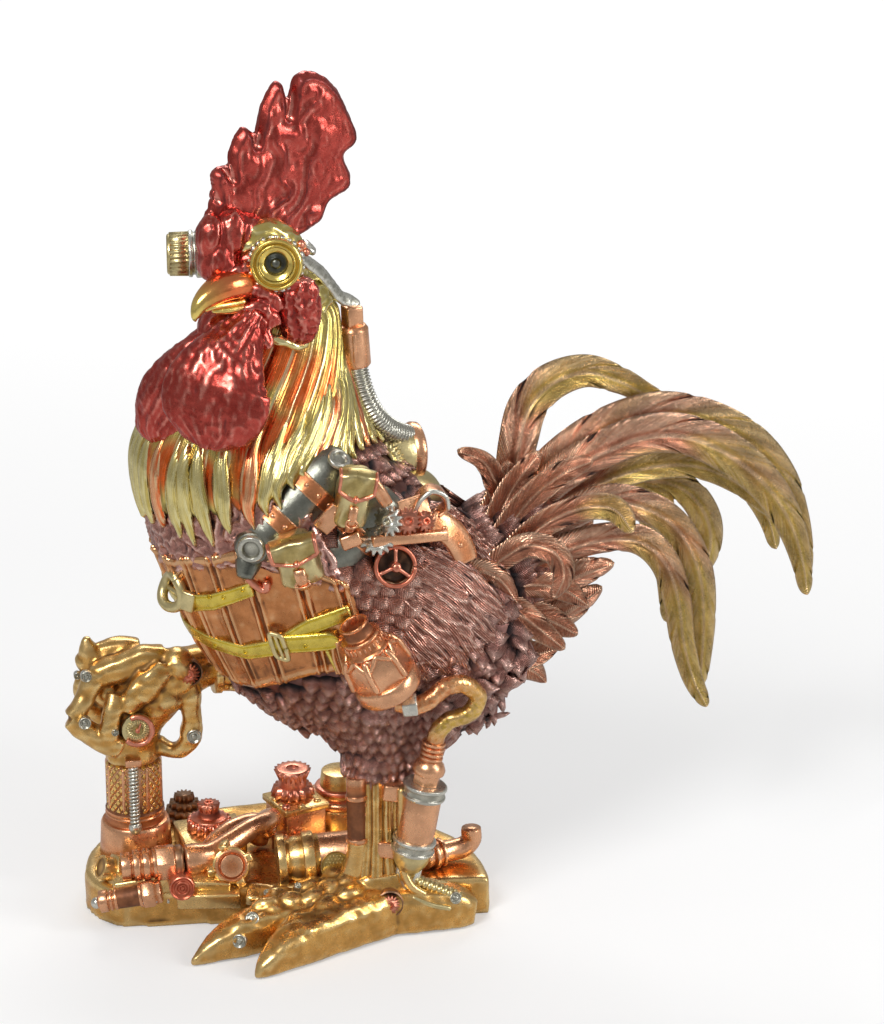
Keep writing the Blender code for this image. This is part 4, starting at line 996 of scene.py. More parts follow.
def climb(degrees):
    """How much higher the corset's foot rides along the flank than under the breast."""
    share = np.clip((flank(degrees) - 27) / 72, 0, 1)
    return 1.45 * share * share * (3 - 2 * share)


def corset_head(degrees):
    """The scalloped head line of the plates."""
    return np.interp(flank(degrees), (0, 26, 33, 46, 64, 78, 95), (4.4, 4.48, 4.73, 4.98, 5.43, 5.35, 5.05))


def band(bm, section, line, start, end, columns, relief, rounded=0):
    """A strap round part of the trunk. Section is a loop of shares across it and of out; line
    gives its lower and upper edge at an angle, and rounded is how many degrees its ends taper."""
    loop = np.array(section + section[:1], dtype=float)
    rows = len(loop) - 1

    def place(around, over):
        spot = np.clip(np.rint(over * rows), 0, rows).astype(int)
        share, out = loop[spot, 0], loop[spot, 1]
        degrees = start + (end - start) * around
        if relief is not None:
            out = out + relief(degrees, share) * (out > 0.5)
        near = np.minimum(degrees - start, end - degrees)
        taper = np.sqrt(1 - (1 - np.clip(near / max(rounded, 1e-6), 0, 1)) ** 2) if rounded else 1
        shut = near < 1e-6
        share = np.where(shut, 0.5, 0.5 + (share - 0.5) * taper)
        out = np.where(shut, 0.5, out)
        low, high = line(degrees)
        return on_trunk(low + (high - low) * share, degrees, out)[0]
    wrap(bm, columns, rows, place)


def plate_edges(degrees):
    """Foot and head of the plates."""
    return 1.85 + climb(degrees), corset_head(degrees)


def seams(degrees, share):
    """Doubled seams, lips above and below, and a dished middle in every plate."""
    lift = np.zeros_like(degrees)
    for seam in SEAMS:
        gap = degrees - seam - 2.2 * (share - 0.5)
        lift += 0.8 * np.exp(-((np.abs(gap) - 1.6) / 0.7) ** 2) - 0.9 * np.exp(-(gap / 0.65) ** 2)
    nearest = np.min([np.abs(degrees - seam) for seam in SEAMS], axis=0)
    lip = np.exp(-((share - 0.97) / 0.03) ** 2) + 0.9 * np.exp(-((share - 0.03) / 0.03) ** 2)
    return lift + lip - 0.5 * np.clip(nearest / 6, 0, 1) ** 2


def corset_plates(bm):
    """The plates as one shell round the front of the body."""
    section = [(0.02, 0.1), (-0.01, 1.2), (0, 2)] + [(k / 26, 2.2) for k in range(1, 26)]
    section += [(1, 2.2), (1.01, 1.3), (0.99, 0.1), (0.7, -1), (0.4, -1)]
    band(bm, section, plate_edges, 84, 276, 460, seams)
    mesh = mesh_of(bm, "corset_plates")
    return press(mesh, lambda points: 0.3 * grain(points, 6, 2.2) + 0.12 * grain(points, 2.2, 4))


LOWER_BELT = ((0, 31, 49, 60.5, 65.5, 77.5, 86, 96), (2.72, 2.84, 2.98, 3.26, 3.42, 3.93, 4.2, 4.5))
UPPER_BELT = ((0, 23.5, 42, 52, 62), (3.5, 3.49, 3.86, 4.18, 4.55))
BELT_TONGUE = ((60, 77.5, 88), (3.34, 3.64, 3.82))


def belt(bm, route, start, end, half, out, rounded):
    """One belt with rounded edges and a stitched line along both."""
    section = [(0, 1), (0, out - 0.5), (0.08, out), (0.16, out - 0.12), (0.26, out + 0.1),
               (0.5, out + 0.2), (0.74, out + 0.1), (0.84, out - 0.12), (0.92, out),
               (1, out - 0.5), (1, 1)]

    def line(degrees):
        middle = np.interp(flank(degrees), *route)
        return middle - half, middle + half
    band(bm, section, line, start, end, 150, None, rounded)


def belts(bm):
    """The belts, the tongue that hangs over the lower one, and their punched holes."""
    belt(bm, LOWER_BELT, 92, 274, 0.155, 3.5, 0)
    belt(bm, BELT_TONGUE, 241, 266.5, 0.165, 4.6, 4)
    belt(bm, UPPER_BELT, 118, 242, 0.165, 3.5, 0)
    tube(bm, [(*on_trunk(along, degrees, 3.2)[0], 0.9)
              for along, degrees in ((3.56, 261.3), (3.38, 262), (3.08, 263.2))], 8, 12)
    for along, degrees, out in ((3.76, 212, 3.5), (3.98, 222, 3.5), (4.11, 229, 3.5), (4.46, 238, 3.5),
                                (3.01, 229.5, 3.5), (3.55, 254.5, 4.7), (2.86, 214, 3.5)):
        point, way = on_trunk(along, degrees, out)
        turned(bm, point, way, ((-0.4, 1), (0.4, 0.95), (0.45, 0.5), (-0.2, 0.4)), 12, 0.06)


def buckles(bm):
    """The ring clasp of the upper belt with its tab, and the lower belt's frame."""
    corners = []
    for step in range(33):
        angle = 2 * math.pi * step / 32
        c, s = math.cos(angle), math.sin(angle)
        size = (abs(c) ** 5 + abs(s) ** 5) ** -0.2
        corners.append((*on_trunk(3.41 + 0.24 * s * size, 245 + 2.3 * c * size, 5)[0], 0.9))
    tube(bm, corners, 8, 64)
    tube(bm, [(*on_trunk(3.14, 245.4, 5.2)[0], 0.6), (*on_trunk(3.68, 244.8, 5.4)[0], 0.6)], 8, 8)
    point, way = on_trunk(3.68, 200, 3.4)
    place = standing(point, way)
    tube(bm, [(*(place @ on_ring(5.6, angle, 1.2 + 0.8 * math.cos(2 * angle))), 1.9)
              for angle in np.linspace(0, 2 * math.pi, 25)], 14, 72)
    tube(bm, [(*on_trunk(3.66, 193, 4.2)[0], 1), (*on_trunk(3.7, 208, 4.8)[0], 1.3)], 8, 10)
    box(bm, Vector(on_trunk(3.66, 209.5, 4.4)[0]), (5, 2.4, 7.6), (8, 12, -28), 0.7)


plates_tree = skin_of(piece("corset_plates", corset_plates, corset_copper,
                            reach=0.22, rounds=3))
piece("belts", belts, belt_gold)
piece("buckles", buckles, brass_gold)
bm = bmesh.new()
tube(bm, [(*on_trunk(along, degrees, 3.6)[0], 1.3) for along, degrees in
          ((5, 241.2), (4.85, 241.4), (4.7, 243), (4.6, 245.4), (4.66, 247.4), (4.84, 247.8))], 10, 30)
piece("belt_keeper", bm, red_copper)

# The corner plate: a small folded sheet of copper between the corset's foot and the pump.

bm = bmesh.new()
box(bm, (13.9, -40.6, 105), (4.6, 3.4, 13.4), (6, -13, 14), 0.4)
box(bm, (11.2, -40, 104.4), (2.6, 3, 12.4), (6, -13, -24), 0.4)
tube(bm, [(12.6, -42.6, 98.4, 0.7), (10.6, -42.2, 104.4, 0.7), (10.2, -41.8, 110.2, 0.7)], 8, 12)
piece("corner_plate", bm, corset_copper)

# The tanks: two slanting gunmetal bottles strapped to the back of the shoulder with riveted
# copper bands, a silver ring on the lower mouth. The pouches: stuffed brass bags with red
# piped flaps and a copper strap each. All cast in place.

gunmetal = paint("gunmetal", (0.05, 0.054, 0.046), (0.36, 0.36, 0.30), (0.008, 0.008, 0.008),
                 scale=420, roughness=0.30, glint_share=0.6)
LONG_TANK = (-13.5, -33, 144), (0.716, 0.13, 0.685), 42, 10
SHORT_TANK = (9.7, -33, 136), (0.7, 0.1, 0.7), 32, 9
MOUTH_AXIS = (-0.25, -0.96, 0.02)


def tanks(bm):
    """The bottles' bodies, and the wedge that carries the lower one's mouth."""
    for foot, axis, length, reach in (LONG_TANK, SHORT_TANK):
        turned(bm, foot, axis, ((-4, 5), (-2.4, reach - 2.2), (0, reach - 0.5), (5, reach),
                                (length - 11, reach), (length - 5, reach - 1.4),
                                (length - 1.6, 6.2), (length, 3)), 48, 0.5)
    turned(bm, (-15, -35.5, 145), MOUTH_AXIS, ((-3, 7), (3, 6.4), (5.6, 5.4)), 32, 0.4)
    limb(bm, [(-16.4, -36, 141, 5, 4.4), (-17.6, -38, 138, 4.2, 3.6), (-18.9, -40, 134, 2.4, 2)],
         SIDEWAYS, 16, 20, 3)


def tank_bands(bm):
    """Copper bands round the bottles, with rivets, and the flat plate over them."""
    for (foot, axis, _, reach), height, turn in ((LONG_TANK, 10.6, 0), (LONG_TANK, 25.8, 20),
                                                 (SHORT_TANK, 14, 0)):
        turned(bm, foot, axis, ((height - 3, reach), (height - 2.8, reach + 0.9), (height - 2, reach + 0.7),
                                (height + 2, reach + 0.7), (height + 2.8, reach + 0.9),
                                (height + 3, reach)), 48, 0.15)
        place = standing(foot, axis)
        for step in range(12):
            angle = 2 * math.pi * step / 12 + turn
            stud(bm, place @ on_ring(reach + 0.6, angle, height), place.to_3x3() @ on_ring(1, angle), 1)
    box(bm, (9.6, -43.2, 155.4), (6.4, 2.2, 10), (8, 42, 4), 0.5)
    stud(bm, (11.4, -44.4, 157.6), DIAL_AXIS, 0.8)


def pouch(bags, piping, straps, middle, turn, size):
    """One pouch: a stuffed bag, its flap, the flap's piping, the strap and its rivet."""
    place = Matrix.Translation(middle) @ turn_by(turn) @ Matrix.Diagonal((*size, 1))
    part = bmesh.new()
    limb(part, [(0, 0, -11, 5.2, 3.6), (0, 0, -9.4, 6.8, 5.2), (0, 0, -3, 7.4, 6.2), (0, 0, 4, 7, 5.8),
                (0, 0, 8.2, 6.4, 4.8), (0, 0, 9.4, 4, 3)], SIDEWAYS, 24, 32, 3.2,
         lambda along, around: 0.6 * np.sin(along * 13 + around * 9) * np.sin(around * 25))
    add(bags, part, place)
    part = bmesh.new()
    wide, drop = 8, 12

    def flap(along, around):
        x = (around - 0.5) * 2
        run = along * drop * (1 - 0.28 * x * x)
        over = np.clip(run / 5.5, 0, 1) * math.pi / 2
        y = 2.4 - 3.6 - 5.4 * np.sin(over) + 0.5 * x * x + 0.3 * np.sin(6 * x + 5 * along)
        z = 9.6 - 1 + 1.9 * np.cos(over) - np.clip(run - 4.2, 0, None) - 0.8 * x * x
        return np.stack([x * wide * (1 - 0.06 * along), y, z], 1)
    wrap(part, 24, 24, flap)
    bmesh.ops.solidify(part, geom=part.faces[:], thickness=0.9)
    add(bags, part, place)
    edge = [(*flap(np.array([1]), np.array([share]))[0], 0.8) for share in np.linspace(0, 1, 14)]
    sides = [(*flap(np.array([share]), np.array([0]))[0], 0.75) for share in np.linspace(0.1, 1, 8)]
    other = [(*flap(np.array([share]), np.array([1]))[0], 0.75) for share in np.linspace(1, 0.1, 8)]
    part = bmesh.new()
    tube(part, sides + edge[1:-1] + other, 8, 60)
    add(piping, part, place)
    part = bmesh.new()
    bmesh.ops.create_uvsphere(part, u_segments=12, v_segments=8, radius=1.3)
    add(piping, part, place @ Matrix.Translation((0, -7.2, 1.2)))
    part = bmesh.new()
    limb(part, [(0, -6.2, -1.4, 1.9, 0.7), (0, -7.4, -3.4, 1.9, 0.8), (0, -7.4, -7, 1.9, 0.8),
                (0, -5.6, -10.6, 1.9, 0.8), (0, -3, -12, 1.8, 0.7)], (0, 1, 0.3), 16, 12, 4)
    tube(part, [(2.5 * math.cos(a), -8, -7.4 + 1.5 * math.sin(a), 0.45)
                for a in np.linspace(0, 2 * math.pi, 17)], 6, 32)
    add(straps, part, place)


piece("tanks", tanks, gunmetal, reach=0.3)
piece("tank_bands", tank_bands, bright_copper)
bags, piping, straps = bmesh.new(), bmesh.new(), bmesh.new()
pouch(bags, piping, straps, (-1.9, -46, 143.7), (8, -15, -6), (1, 1, 0.86))
pouch(bags, piping, straps, (17.5, -42, 163.2), (6, 10, 0), (0.77, 0.95, 1))
limb(straps, [(22.7, -43.5, 169, 2.2, 0.9), (26.4, -43.4, 163.6, 2.2, 0.9), (29.3, -41.4, 158, 2, 0.9)],
     (0, -1, 0.2), 12, 12, 4)
piece("pouch_bags", bags, brass_gold, reach=0.3, rounds=3)
piece("pouch_piping", piping, red_copper, reach=0.3)
piece("pouch_straps", straps, bright_copper, reach=0.3)
bm = bmesh.new()
turned(bm, (-16.2, -40.4, 145.4), MOUTH_AXIS, ((0, 4.6), (1.6, 4.8), (2.6, 4.2), (2.6, 3),
                                               (1, 2.6), (1, 0.4)), 40, 0.25)
turned(bm, (13.2, -36.5, 173), (0.3, -0.5, 0.8), ((0, 3.8), (1.6, 3.8), (1.9, 2.6), (0.8, 2)), 28, 0.2)
piece("tank_rings", bm, old_silver)

# The shoulder machine: a copper bracket with three gears, a rolled sheet end, a strap that
# runs back over the rump and a three-spoked handwheel over a dark dish.

WHEEL_AXIS = (0.06, -0.97, 0.24)


def bracket(bm):
    """Rail, back plate, rolled end, strap and rivets."""
    box(bm, (36, -38.5, 145.6), (27, 7, 3.6), (-8, 3, 14), 0.6)
    box(bm, (33, -35.5, 150.5), (24, 3, 12), (-20, -10, 16), 0.5)
    box(bm, (16.5, -42, 147), (7, 4, 5), (0, -20, 0), 0.8)
    limb(bm, [(40, -31, 144, 0.9, 4.4), (39.2, -31, 150, 0.9, 4.6), (40.4, -31, 156, 0.9, 4.6),
              (44.5, -30.5, 159.2, 0.9, 4.6), (48.8, -30, 157.4, 0.9, 4.6), (49.8, -30, 152.8, 0.9, 4.4),
              (46.6, -30, 150, 0.9, 4.2)], SIDEWAYS, 40, 16, 3)
    limb(bm, [(44, -34, 149, 5, 1.4), (49, -33.5, 146.4, 5, 1.5), (53.2, -32.5, 142, 5, 1.5),
              (55.8, -32, 136.6, 4.8, 1.5), (56.8, -32, 132.6, 4.4, 1.3)], (0.4, -0.85, 0.4), 30, 20, 4)
    for x, y, z in ((27, -42.4, 146.2), (41.5, -39, 145.6), (49, -35.5, 146.8), (54.4, -34.2, 140)):
        stud(bm, (x, y, z), (0.1, -1, 0.3), 1)


def handwheel(bm):
    """Rim, three spokes and the hub."""
    place = standing((31.3, -43.6, 137.2), WHEEL_AXIS)
    ring = [(*(place @ on_ring(6.6, angle)), 0.75) for angle in np.linspace(0, 2 * math.pi, 33)]
    tube(bm, ring, 12, 96)
    for degrees in (90, 205, 325):
        tube(bm, [(*(place @ on_ring(reach, math.radians(degrees))), size)
                  for reach, size in ((0.5, 0.9), (3.5, 0.6), (6.5, 0.75))], 8, 8)
    turned(bm, place @ Vector((0, 0, -3)), WHEEL_AXIS, ((0, 1.7), (4.2, 1.7), (4.6, 1.2)), 16, 0.2)


def dish(bm):
    """The dark rough dish behind the wheel."""
    turned(bm, (31.3, -38, 135.8), WHEEL_AXIS,
           ((0, 6.8), (3, 6.6), (3.4, 6), (1.6, 5.2), (1, 2.6)), 40, 0.3)
    return press(mesh_of(bm, "dish"), lambda points: 0.5 * grain(points, 2.4, 3))


piece("shoulder_bracket", bracket, bright_copper)
bm = bmesh.new()
gear(bm, (35.6, -39.5, 151.8), (0.1, -0.95, 0.3), 14, 4.6, 3.4, 2.6, 0.96, 1.8)
gear(bm, (41.5, -37, 150.4), (0.3, -0.9, 0.3), 12, 3.6, 2.6, 2.4, 0.96, 1.4)
turned(bm, (31.3, -45.2, 137.6), WHEEL_AXIS, ((0, 1.5), (1.6, 1.4), (1.9, 0.8)), 12, 0.15)
piece("shoulder_red_gears", bm, red_copper)
bm = bmesh.new()
gear(bm, (29.6, -40.6, 152.4), (-0.55, -0.8, 0.3), 13, 5.4, 4, 1.8, 0.98, 1.8)
gear(bm, (25.2, -41.2, 146.2), (0, -0.75, 0.66), 14, 6, 4.6, 1.8, 0.98)
tube(bm, [(38.9, -35.6, 145, 0.8), (38.6, -35.9, 151, 0.8), (40.2, -35.8, 156.4, 0.8),
          (44.5, -35.4, 160, 0.8), (49.4, -34.8, 158, 0.8), (50.5, -34.6, 152.8, 0.8)], 8, 40)
piece("shoulder_silver_gears", bm, old_silver)
piece("handwheel", handwheel, red_copper)
piece("handwheel_dish", dish, dark_bronze)

# The pump at the hip: a copper bottle with an open mouth, a ribbed collar, six panels and a
# thick foot ring. A hammered pipe hooks from it round to the slim cylinder behind the leg,
# which hangs between two silver clamps. All cast on.

PUMP_FOOT, PUMP_AXIS = (28.2, -47.5, 96.4), (-0.449, -0.094, 0.888)


def pump(bm):
    """Foot ring, panelled barrel, collar and mouth."""
    turned(bm, PUMP_FOOT, PUMP_AXIS, ((-3.4, 8.6), (-2.6, 10.8), (-1.2, 11.5), (2.8, 11.6), (3.9, 10.9),
                                      (4.1, 9.4)), 48, 0.4)
    turned(bm, PUMP_FOOT, PUMP_AXIS, ((3.4, 11), (12.5, 10), (16, 8)), 6, 0.8, 12)
    place = standing(PUMP_FOOT, PUMP_AXIS, 12)
    for step in range(6):
        turn = math.radians(60 * step)
        ridge = [place @ on_ring(reach, turn, height) for reach, height in
                 ((11.1, 4.2), (10.7, 8.5), (10.1, 12.5), (8, 16.4))]
        tube(bm, [(*point, 1.1) for point in ridge], 8, 14)
        across = [place @ on_ring(reach, turn + lean, height) for lean, reach, height in
                  ((0, 10.1, 12), (0.3, 8.7, 14.4), (0.52, 8, 15.8), (0.75, 8.7, 14.4), (1.047, 10.1, 12))]
        tube(bm, [(*point, 0.9) for point in across], 8, 16)
    turned(bm, PUMP_FOOT, PUMP_AXIS,
           ((14.6, 7.4), (16.2, 7.9), (16.9, 6.9), (20.6, 6.6), (21.3, 7.1), (22, 6.6), (22.2, 5.2),
            (23, 4.8), (25.6, 4.8), (26.4, 5.3), (27, 5), (26.8, 4.2), (22, 3.9), (22, 0.4)), 48, 0.15)
    for step in range(24):
        turn = 2 * math.pi * step / 24
        low, high = (place @ on_ring(6.75, turn, height) for height in (17.4, 20.6))
        tube(bm, [(*low, 0.38), (*high, 0.38)], 6, 3)
    mesh = mesh_of(bm, "pump_bottle")
    return press(mesh, lambda points: 0.12 * grain(points, 1.8, 2))


def hook_pipe(bm):
    """The hooked pipe, its skin hammered all over."""
    keys = [(31, -45, 88.5), (36, -46.5, 87.5), (41.5, -46, 88.6), (48, -44, 92.6), (54.6, -42, 92.4),
            (59.6, -40, 86.6), (56.8, -40, 80.8), (50, -40, 78.4), (46, -40, 74.4), (44.6, -40, 68.5),
            (43.8, -40, 64)]
    tube(bm, [(*key, 3.1) for key in keys], 24, 150,
         shade=lambda along, around: (np.clip((along - 0.3) / 0.25, 0, 1)
                                      * np.clip((0.86 - along) / 0.1, 0, 1)))
    mesh = mesh_of(bm, "hook_pipe")
    return press(mesh, lambda points: 0.28 * grain(points, 1.5, 5) + 0.2 * grain(points, 3.5, 1))


CYLINDER_FOOT, CYLINDER_AXIS = (35.6, -39.5, 22), (0.183, -0.01, 0.983)
hammered = paint("hammered_pipe", (0.74, 0.27, 0.10), (1, 0.66, 0.36), (0.08, 0.03, 0.012),
                 second=(0.66, 0.43, 0.07), scale=260, roughness=0.27)
piece("pump_bottle", pump, bright_copper)
piece("hook_pipe", hook_pipe, hammered)
bm = bmesh.new()
turned(bm, CYLINDER_FOOT, CYLINDER_AXIS, ((11, 6.6), (29, 6.5)), 40, 0.3)
turned(bm, CYLINDER_FOOT, CYLINDER_AXIS, ((34, 4.9), (38.6, 4.9)), 6, 0.3, 10)
turned(bm, CYLINDER_FOOT, CYLINDER_AXIS, ((38, 5.6), (39.6, 5.8), (41.6, 5), (43.2, 3.4)), 32, 0.3)
for height in (43, 44.8, 46.6, 48.4):
    turned(bm, CYLINDER_FOOT, CYLINDER_AXIS, ((height, 3.3), (height + 0.4, 4.1), (height + 1.2, 4.1),
                                              (height + 1.6, 3.3)), 28, 0.1)
box(bm, (33, -34, 50), (11, 7, 6), (0, 10, 0), 0.8)
box(bm, (30.5, -35, 29), (11, 7, 6), (0, 10, 0), 0.8)
piece("cylinder_barrel", bm, bright_copper)
bm = bmesh.new()
for low in (7.8, 28.6):
    turned(bm, CYLINDER_FOOT, CYLINDER_AXIS,
           ((low, 6.8), (low + 0.3, 7.5), (low + 1.2, 7.7), (low + 1.6, 7.1), (low + 3.6, 7.1),
            (low + 4, 7.7), (low + 5, 7.6), (low + 5.4, 6.8)), 44, 0.12)
box(bm, (45.6, -41.5, 51.5), (3.2, 3.4, 5.4), (0, 10, 20), 0.5)
turned(bm, (35.5, -46.4, 87.8), (0.94, -0.1, 0.1), ((-2.6, 4.4), (2.6, 4.4)), 6, 0.6)
piece("cylinder_clamps", bm, old_silver)
bm = bmesh.new()
turned(bm, CYLINDER_FOOT, CYLINDER_AXIS, ((-3.5, 2.6), (0, 3), (1.4, 4.4), (4.4, 6.2), (8, 6.9)), 36, 0.3)
piece("cylinder_dome", bm, brass_gold)

# The small feathers: overlapping scales modelled on belly, thigh, rump and neck, each a keeled
# leaf with its root sunk in the body, and a crumpled skin of short tufts on the breast.


def leaf(bm, root, way, down, long, wide, seed, rise):
    """One small feather, a keeled leaf. Way points off the body and down runs from its root
    to its tip; barbs sweep off its keel, with painted shade at its root and a painted highlight at its rim."""
    way = Vector(way).normalized()
    down = (Vector(down) - way * Vector(down).dot(way)).normalized()
    root, way, down = np.array(root), np.array(way), np.array(down)
    across = np.cross(down, way)

    def side_of(around):
        return np.where(around < 0.5, 1 - 4 * around, 4 * around - 3)

    def place(along, around):
        side = side_of(around)
        off = np.abs(side)
        upper = np.where(around < 0.5, 1, -1)
        reach = wide * np.interp(along, (0, 0.2, 0.4, 0.6, 0.8, 1), (0.35, 0.76, 0.98, 1, 0.82, 0.3))
        ends = np.where((along < 1e-6) | (along > 1 - 1e-6), 0, 1)
        body = 0.8 * (1 - off ** 4) * upper * ends
        y = long * along * (1 - 0.2 * side ** 2) - 0.12 * long
        z = long * rise * along + (1 - off) * along ** 0.6 + 0.22 * np.cos(off * 9.4) * along
        z = z + body - 0.6 + math.sin(seed * 3) * 0.7 * side * along ** 2
        return root + across * (side * reach)[:, None] + down * y[:, None] + way * z[:, None]

    # Painted light: the hollow mark is high at the root for painted shade and low towards the tip for a
    # painted highlight.
    def hollow(along, around):
        return np.interp(along, (0, 0.3, 0.55, 0.8, 1), (1, 0.82, 0.5, 0.16, 0.3)) \
            + 0.2 * (np.abs(side_of(around)) - 0.5)
    wrap(bm, 5, 8, place, hollow=hollow,
         barb=lambda along, around: (along * long - 1.2 * np.abs(side_of(around)) * wide) / 0.85)


def cast_on(start, towards):
    """Where a line from start meets the body, and the way off it there, unless the corset
    lies over that spot."""
    towards = Vector(towards).normalized()
    hit, way, _, far = body_tree.ray_cast(Vector(start), towards)
    cover = plates_tree.ray_cast(Vector(start), towards)
    if hit is not None and cover[0] is not None and cover[3] < far + 1:
        return None, way
    return hit, way


def scatter(number):
    """A repeatable number from -1 to 1."""
    return 2 * ((math.sin(number * 12.9898) * 43758.5453) % 1) - 1


def leaves(side):
    """The scales of one half of the body, set in staggered rows from the top down."""
    bm = bmesh.new()
    count = 0
    for row in range(-4, 9):
        z = 91 - 4 * row
        middle = np.array([30 - 0.05 * (91 - z), -13 - 0.2 * (91 - z)])
        around = 40 if row < 5 else 30
        for step in range(around):
            angle = 2 * math.pi * (step + 0.5 * (row % 2)) / around
            if (math.sin(angle) > 0.25) != (side > 0):
                continue
            out = Vector((math.cos(angle), math.sin(angle), 0))
            hit, way = cast_on((middle[0] + 70 * out.x, middle[1] + 70 * out.y, z), -out)
            count += 1
            if hit is None or hit.z < 59:
                continue
            size = (9 - 0.16 * row) * (1 + 0.14 * scatter(count))
            down = Vector((0.18 * out.y + 0.22 * scatter(count + 7), 0.2 * scatter(count + 3), -1))
            leaf(bm, hit, way, down, size, size * 0.5, 2 * scatter(count + 5), 0.14)
    for row in range(13):
        below = row < 4
        for step in range(16 if below else 11):
            if below:
                along, degrees = 2 - 0.32 * row, 262 - (step + 0.5 * (row % 2)) * 7.4
            else:
                along, degrees = 12.2 - 0.62 * row, 276 + (step + 0.5 * (row % 2)) * 8
            start, out = on_trunk(along, degrees if side < 0 else 360 - degrees, 40)
            hit, way = cast_on(start, -Vector(out))
            count += 1
            if hit is None:
                continue
            size = 8.6 * (1 + 0.15 * scatter(count))
            leaf(bm, hit, way, (0.5 if below else 1, 0.15 * scatter(count), -1), size, size * 0.48,
                 2 * scatter(count + 1), 0.14)
    return bm


def breast_tufts(bm):
    """The crumpled short plumage between the hackle and the corset."""

    def place(along, around):
        degrees = 84 + 192 * around
        shut = (around < 1e-6) | (around > 1 - 1e-6) | (along < 1e-6) | (along > 1 - 1e-6)
        height = corset_head(degrees) - 0.3 + (7 - corset_head(degrees)) * along
        return on_trunk(height, degrees, np.where(shut, -2, 1))[0]
    wrap(bm, 64, 240, place)
    bmesh.ops.holes_fill(bm, edges=[edge for edge in bm.edges if edge.is_boundary])

    def crumple(points):
        big = 1 - 2 * np.abs(grain(points, 6.5, 1.1))
        small = 1 - 2 * np.abs(grain(points, 2.9, 5.3, (1, 1, 1.5)))
        return 1.1 * big + 0.75 * small + 0.2 * grain(points, 1.3, 8.8)
    return press(mesh_of(bm, "breast_tufts"), crumple)


def rump_leaves(side):
    """Larger scales over the rump, pointing to the tail."""
    bm = bmesh.new()
    for row in range(7):
        share = row / 6
        middle = Vector((34 + 46 * share, -4 * share, 108 + 26 * share))
        axis = Vector((0.86, -0.06, 0.5))
        for step in range(15):
            angle = math.radians(-78 + (step + 0.5 * (row % 2)) * 12)
            out = Vector((-0.5 * math.sin(angle) * 0.6, side * math.cos(angle), math.sin(angle)))
            hit, way = cast_on(middle + out * 60, -out)
            if hit is None:
                continue
            count = row * 17 + step
            leaf(bm, hit, way, axis + Vector((0, 0, -0.45)) + Vector((0, 0, 0.2 * scatter(count))),
                 11 + 1.5 * scatter(count + 3), 5.2, 2 * scatter(count + 8), 0.12)
    return bm


piece("leaves_near", leaves(-1), plum_bronze, reach=0.35)
piece("leaves_far", leaves(1), plum_bronze, reach=0.35)
piece("breast_tufts", breast_tufts, plum_bronze, reach=0.35)
for name, side in (("rump_leaves_near", -1), ("rump_leaves_far", 1)):
    piece(name, rump_leaves(side), plum_bronze, reach=0.35)

# The wings: folded flat on either flank, small round feathers over the shoulder and long
# barbed ones running down and back over each other. They are one with the body.

tail_copper = paint("tail_copper", (0.62, 0.25, 0.145), (1, 0.72, 0.5), (0.016, 0.008, 0.007),
                    second=(0.88, 0.63, 0.18), scale=130, roughness=0.23, lines=0.4, bump=0.22,
                    dirt_and_shade_share=0.85)
wing_plum = paint("wing_plum", (0.46, 0.20, 0.145), (1, 0.68, 0.56), (0.014, 0.009, 0.012),
                  scale=240, roughness=0.25, lines=0.5, bump=0.2, glint_share=0.7)


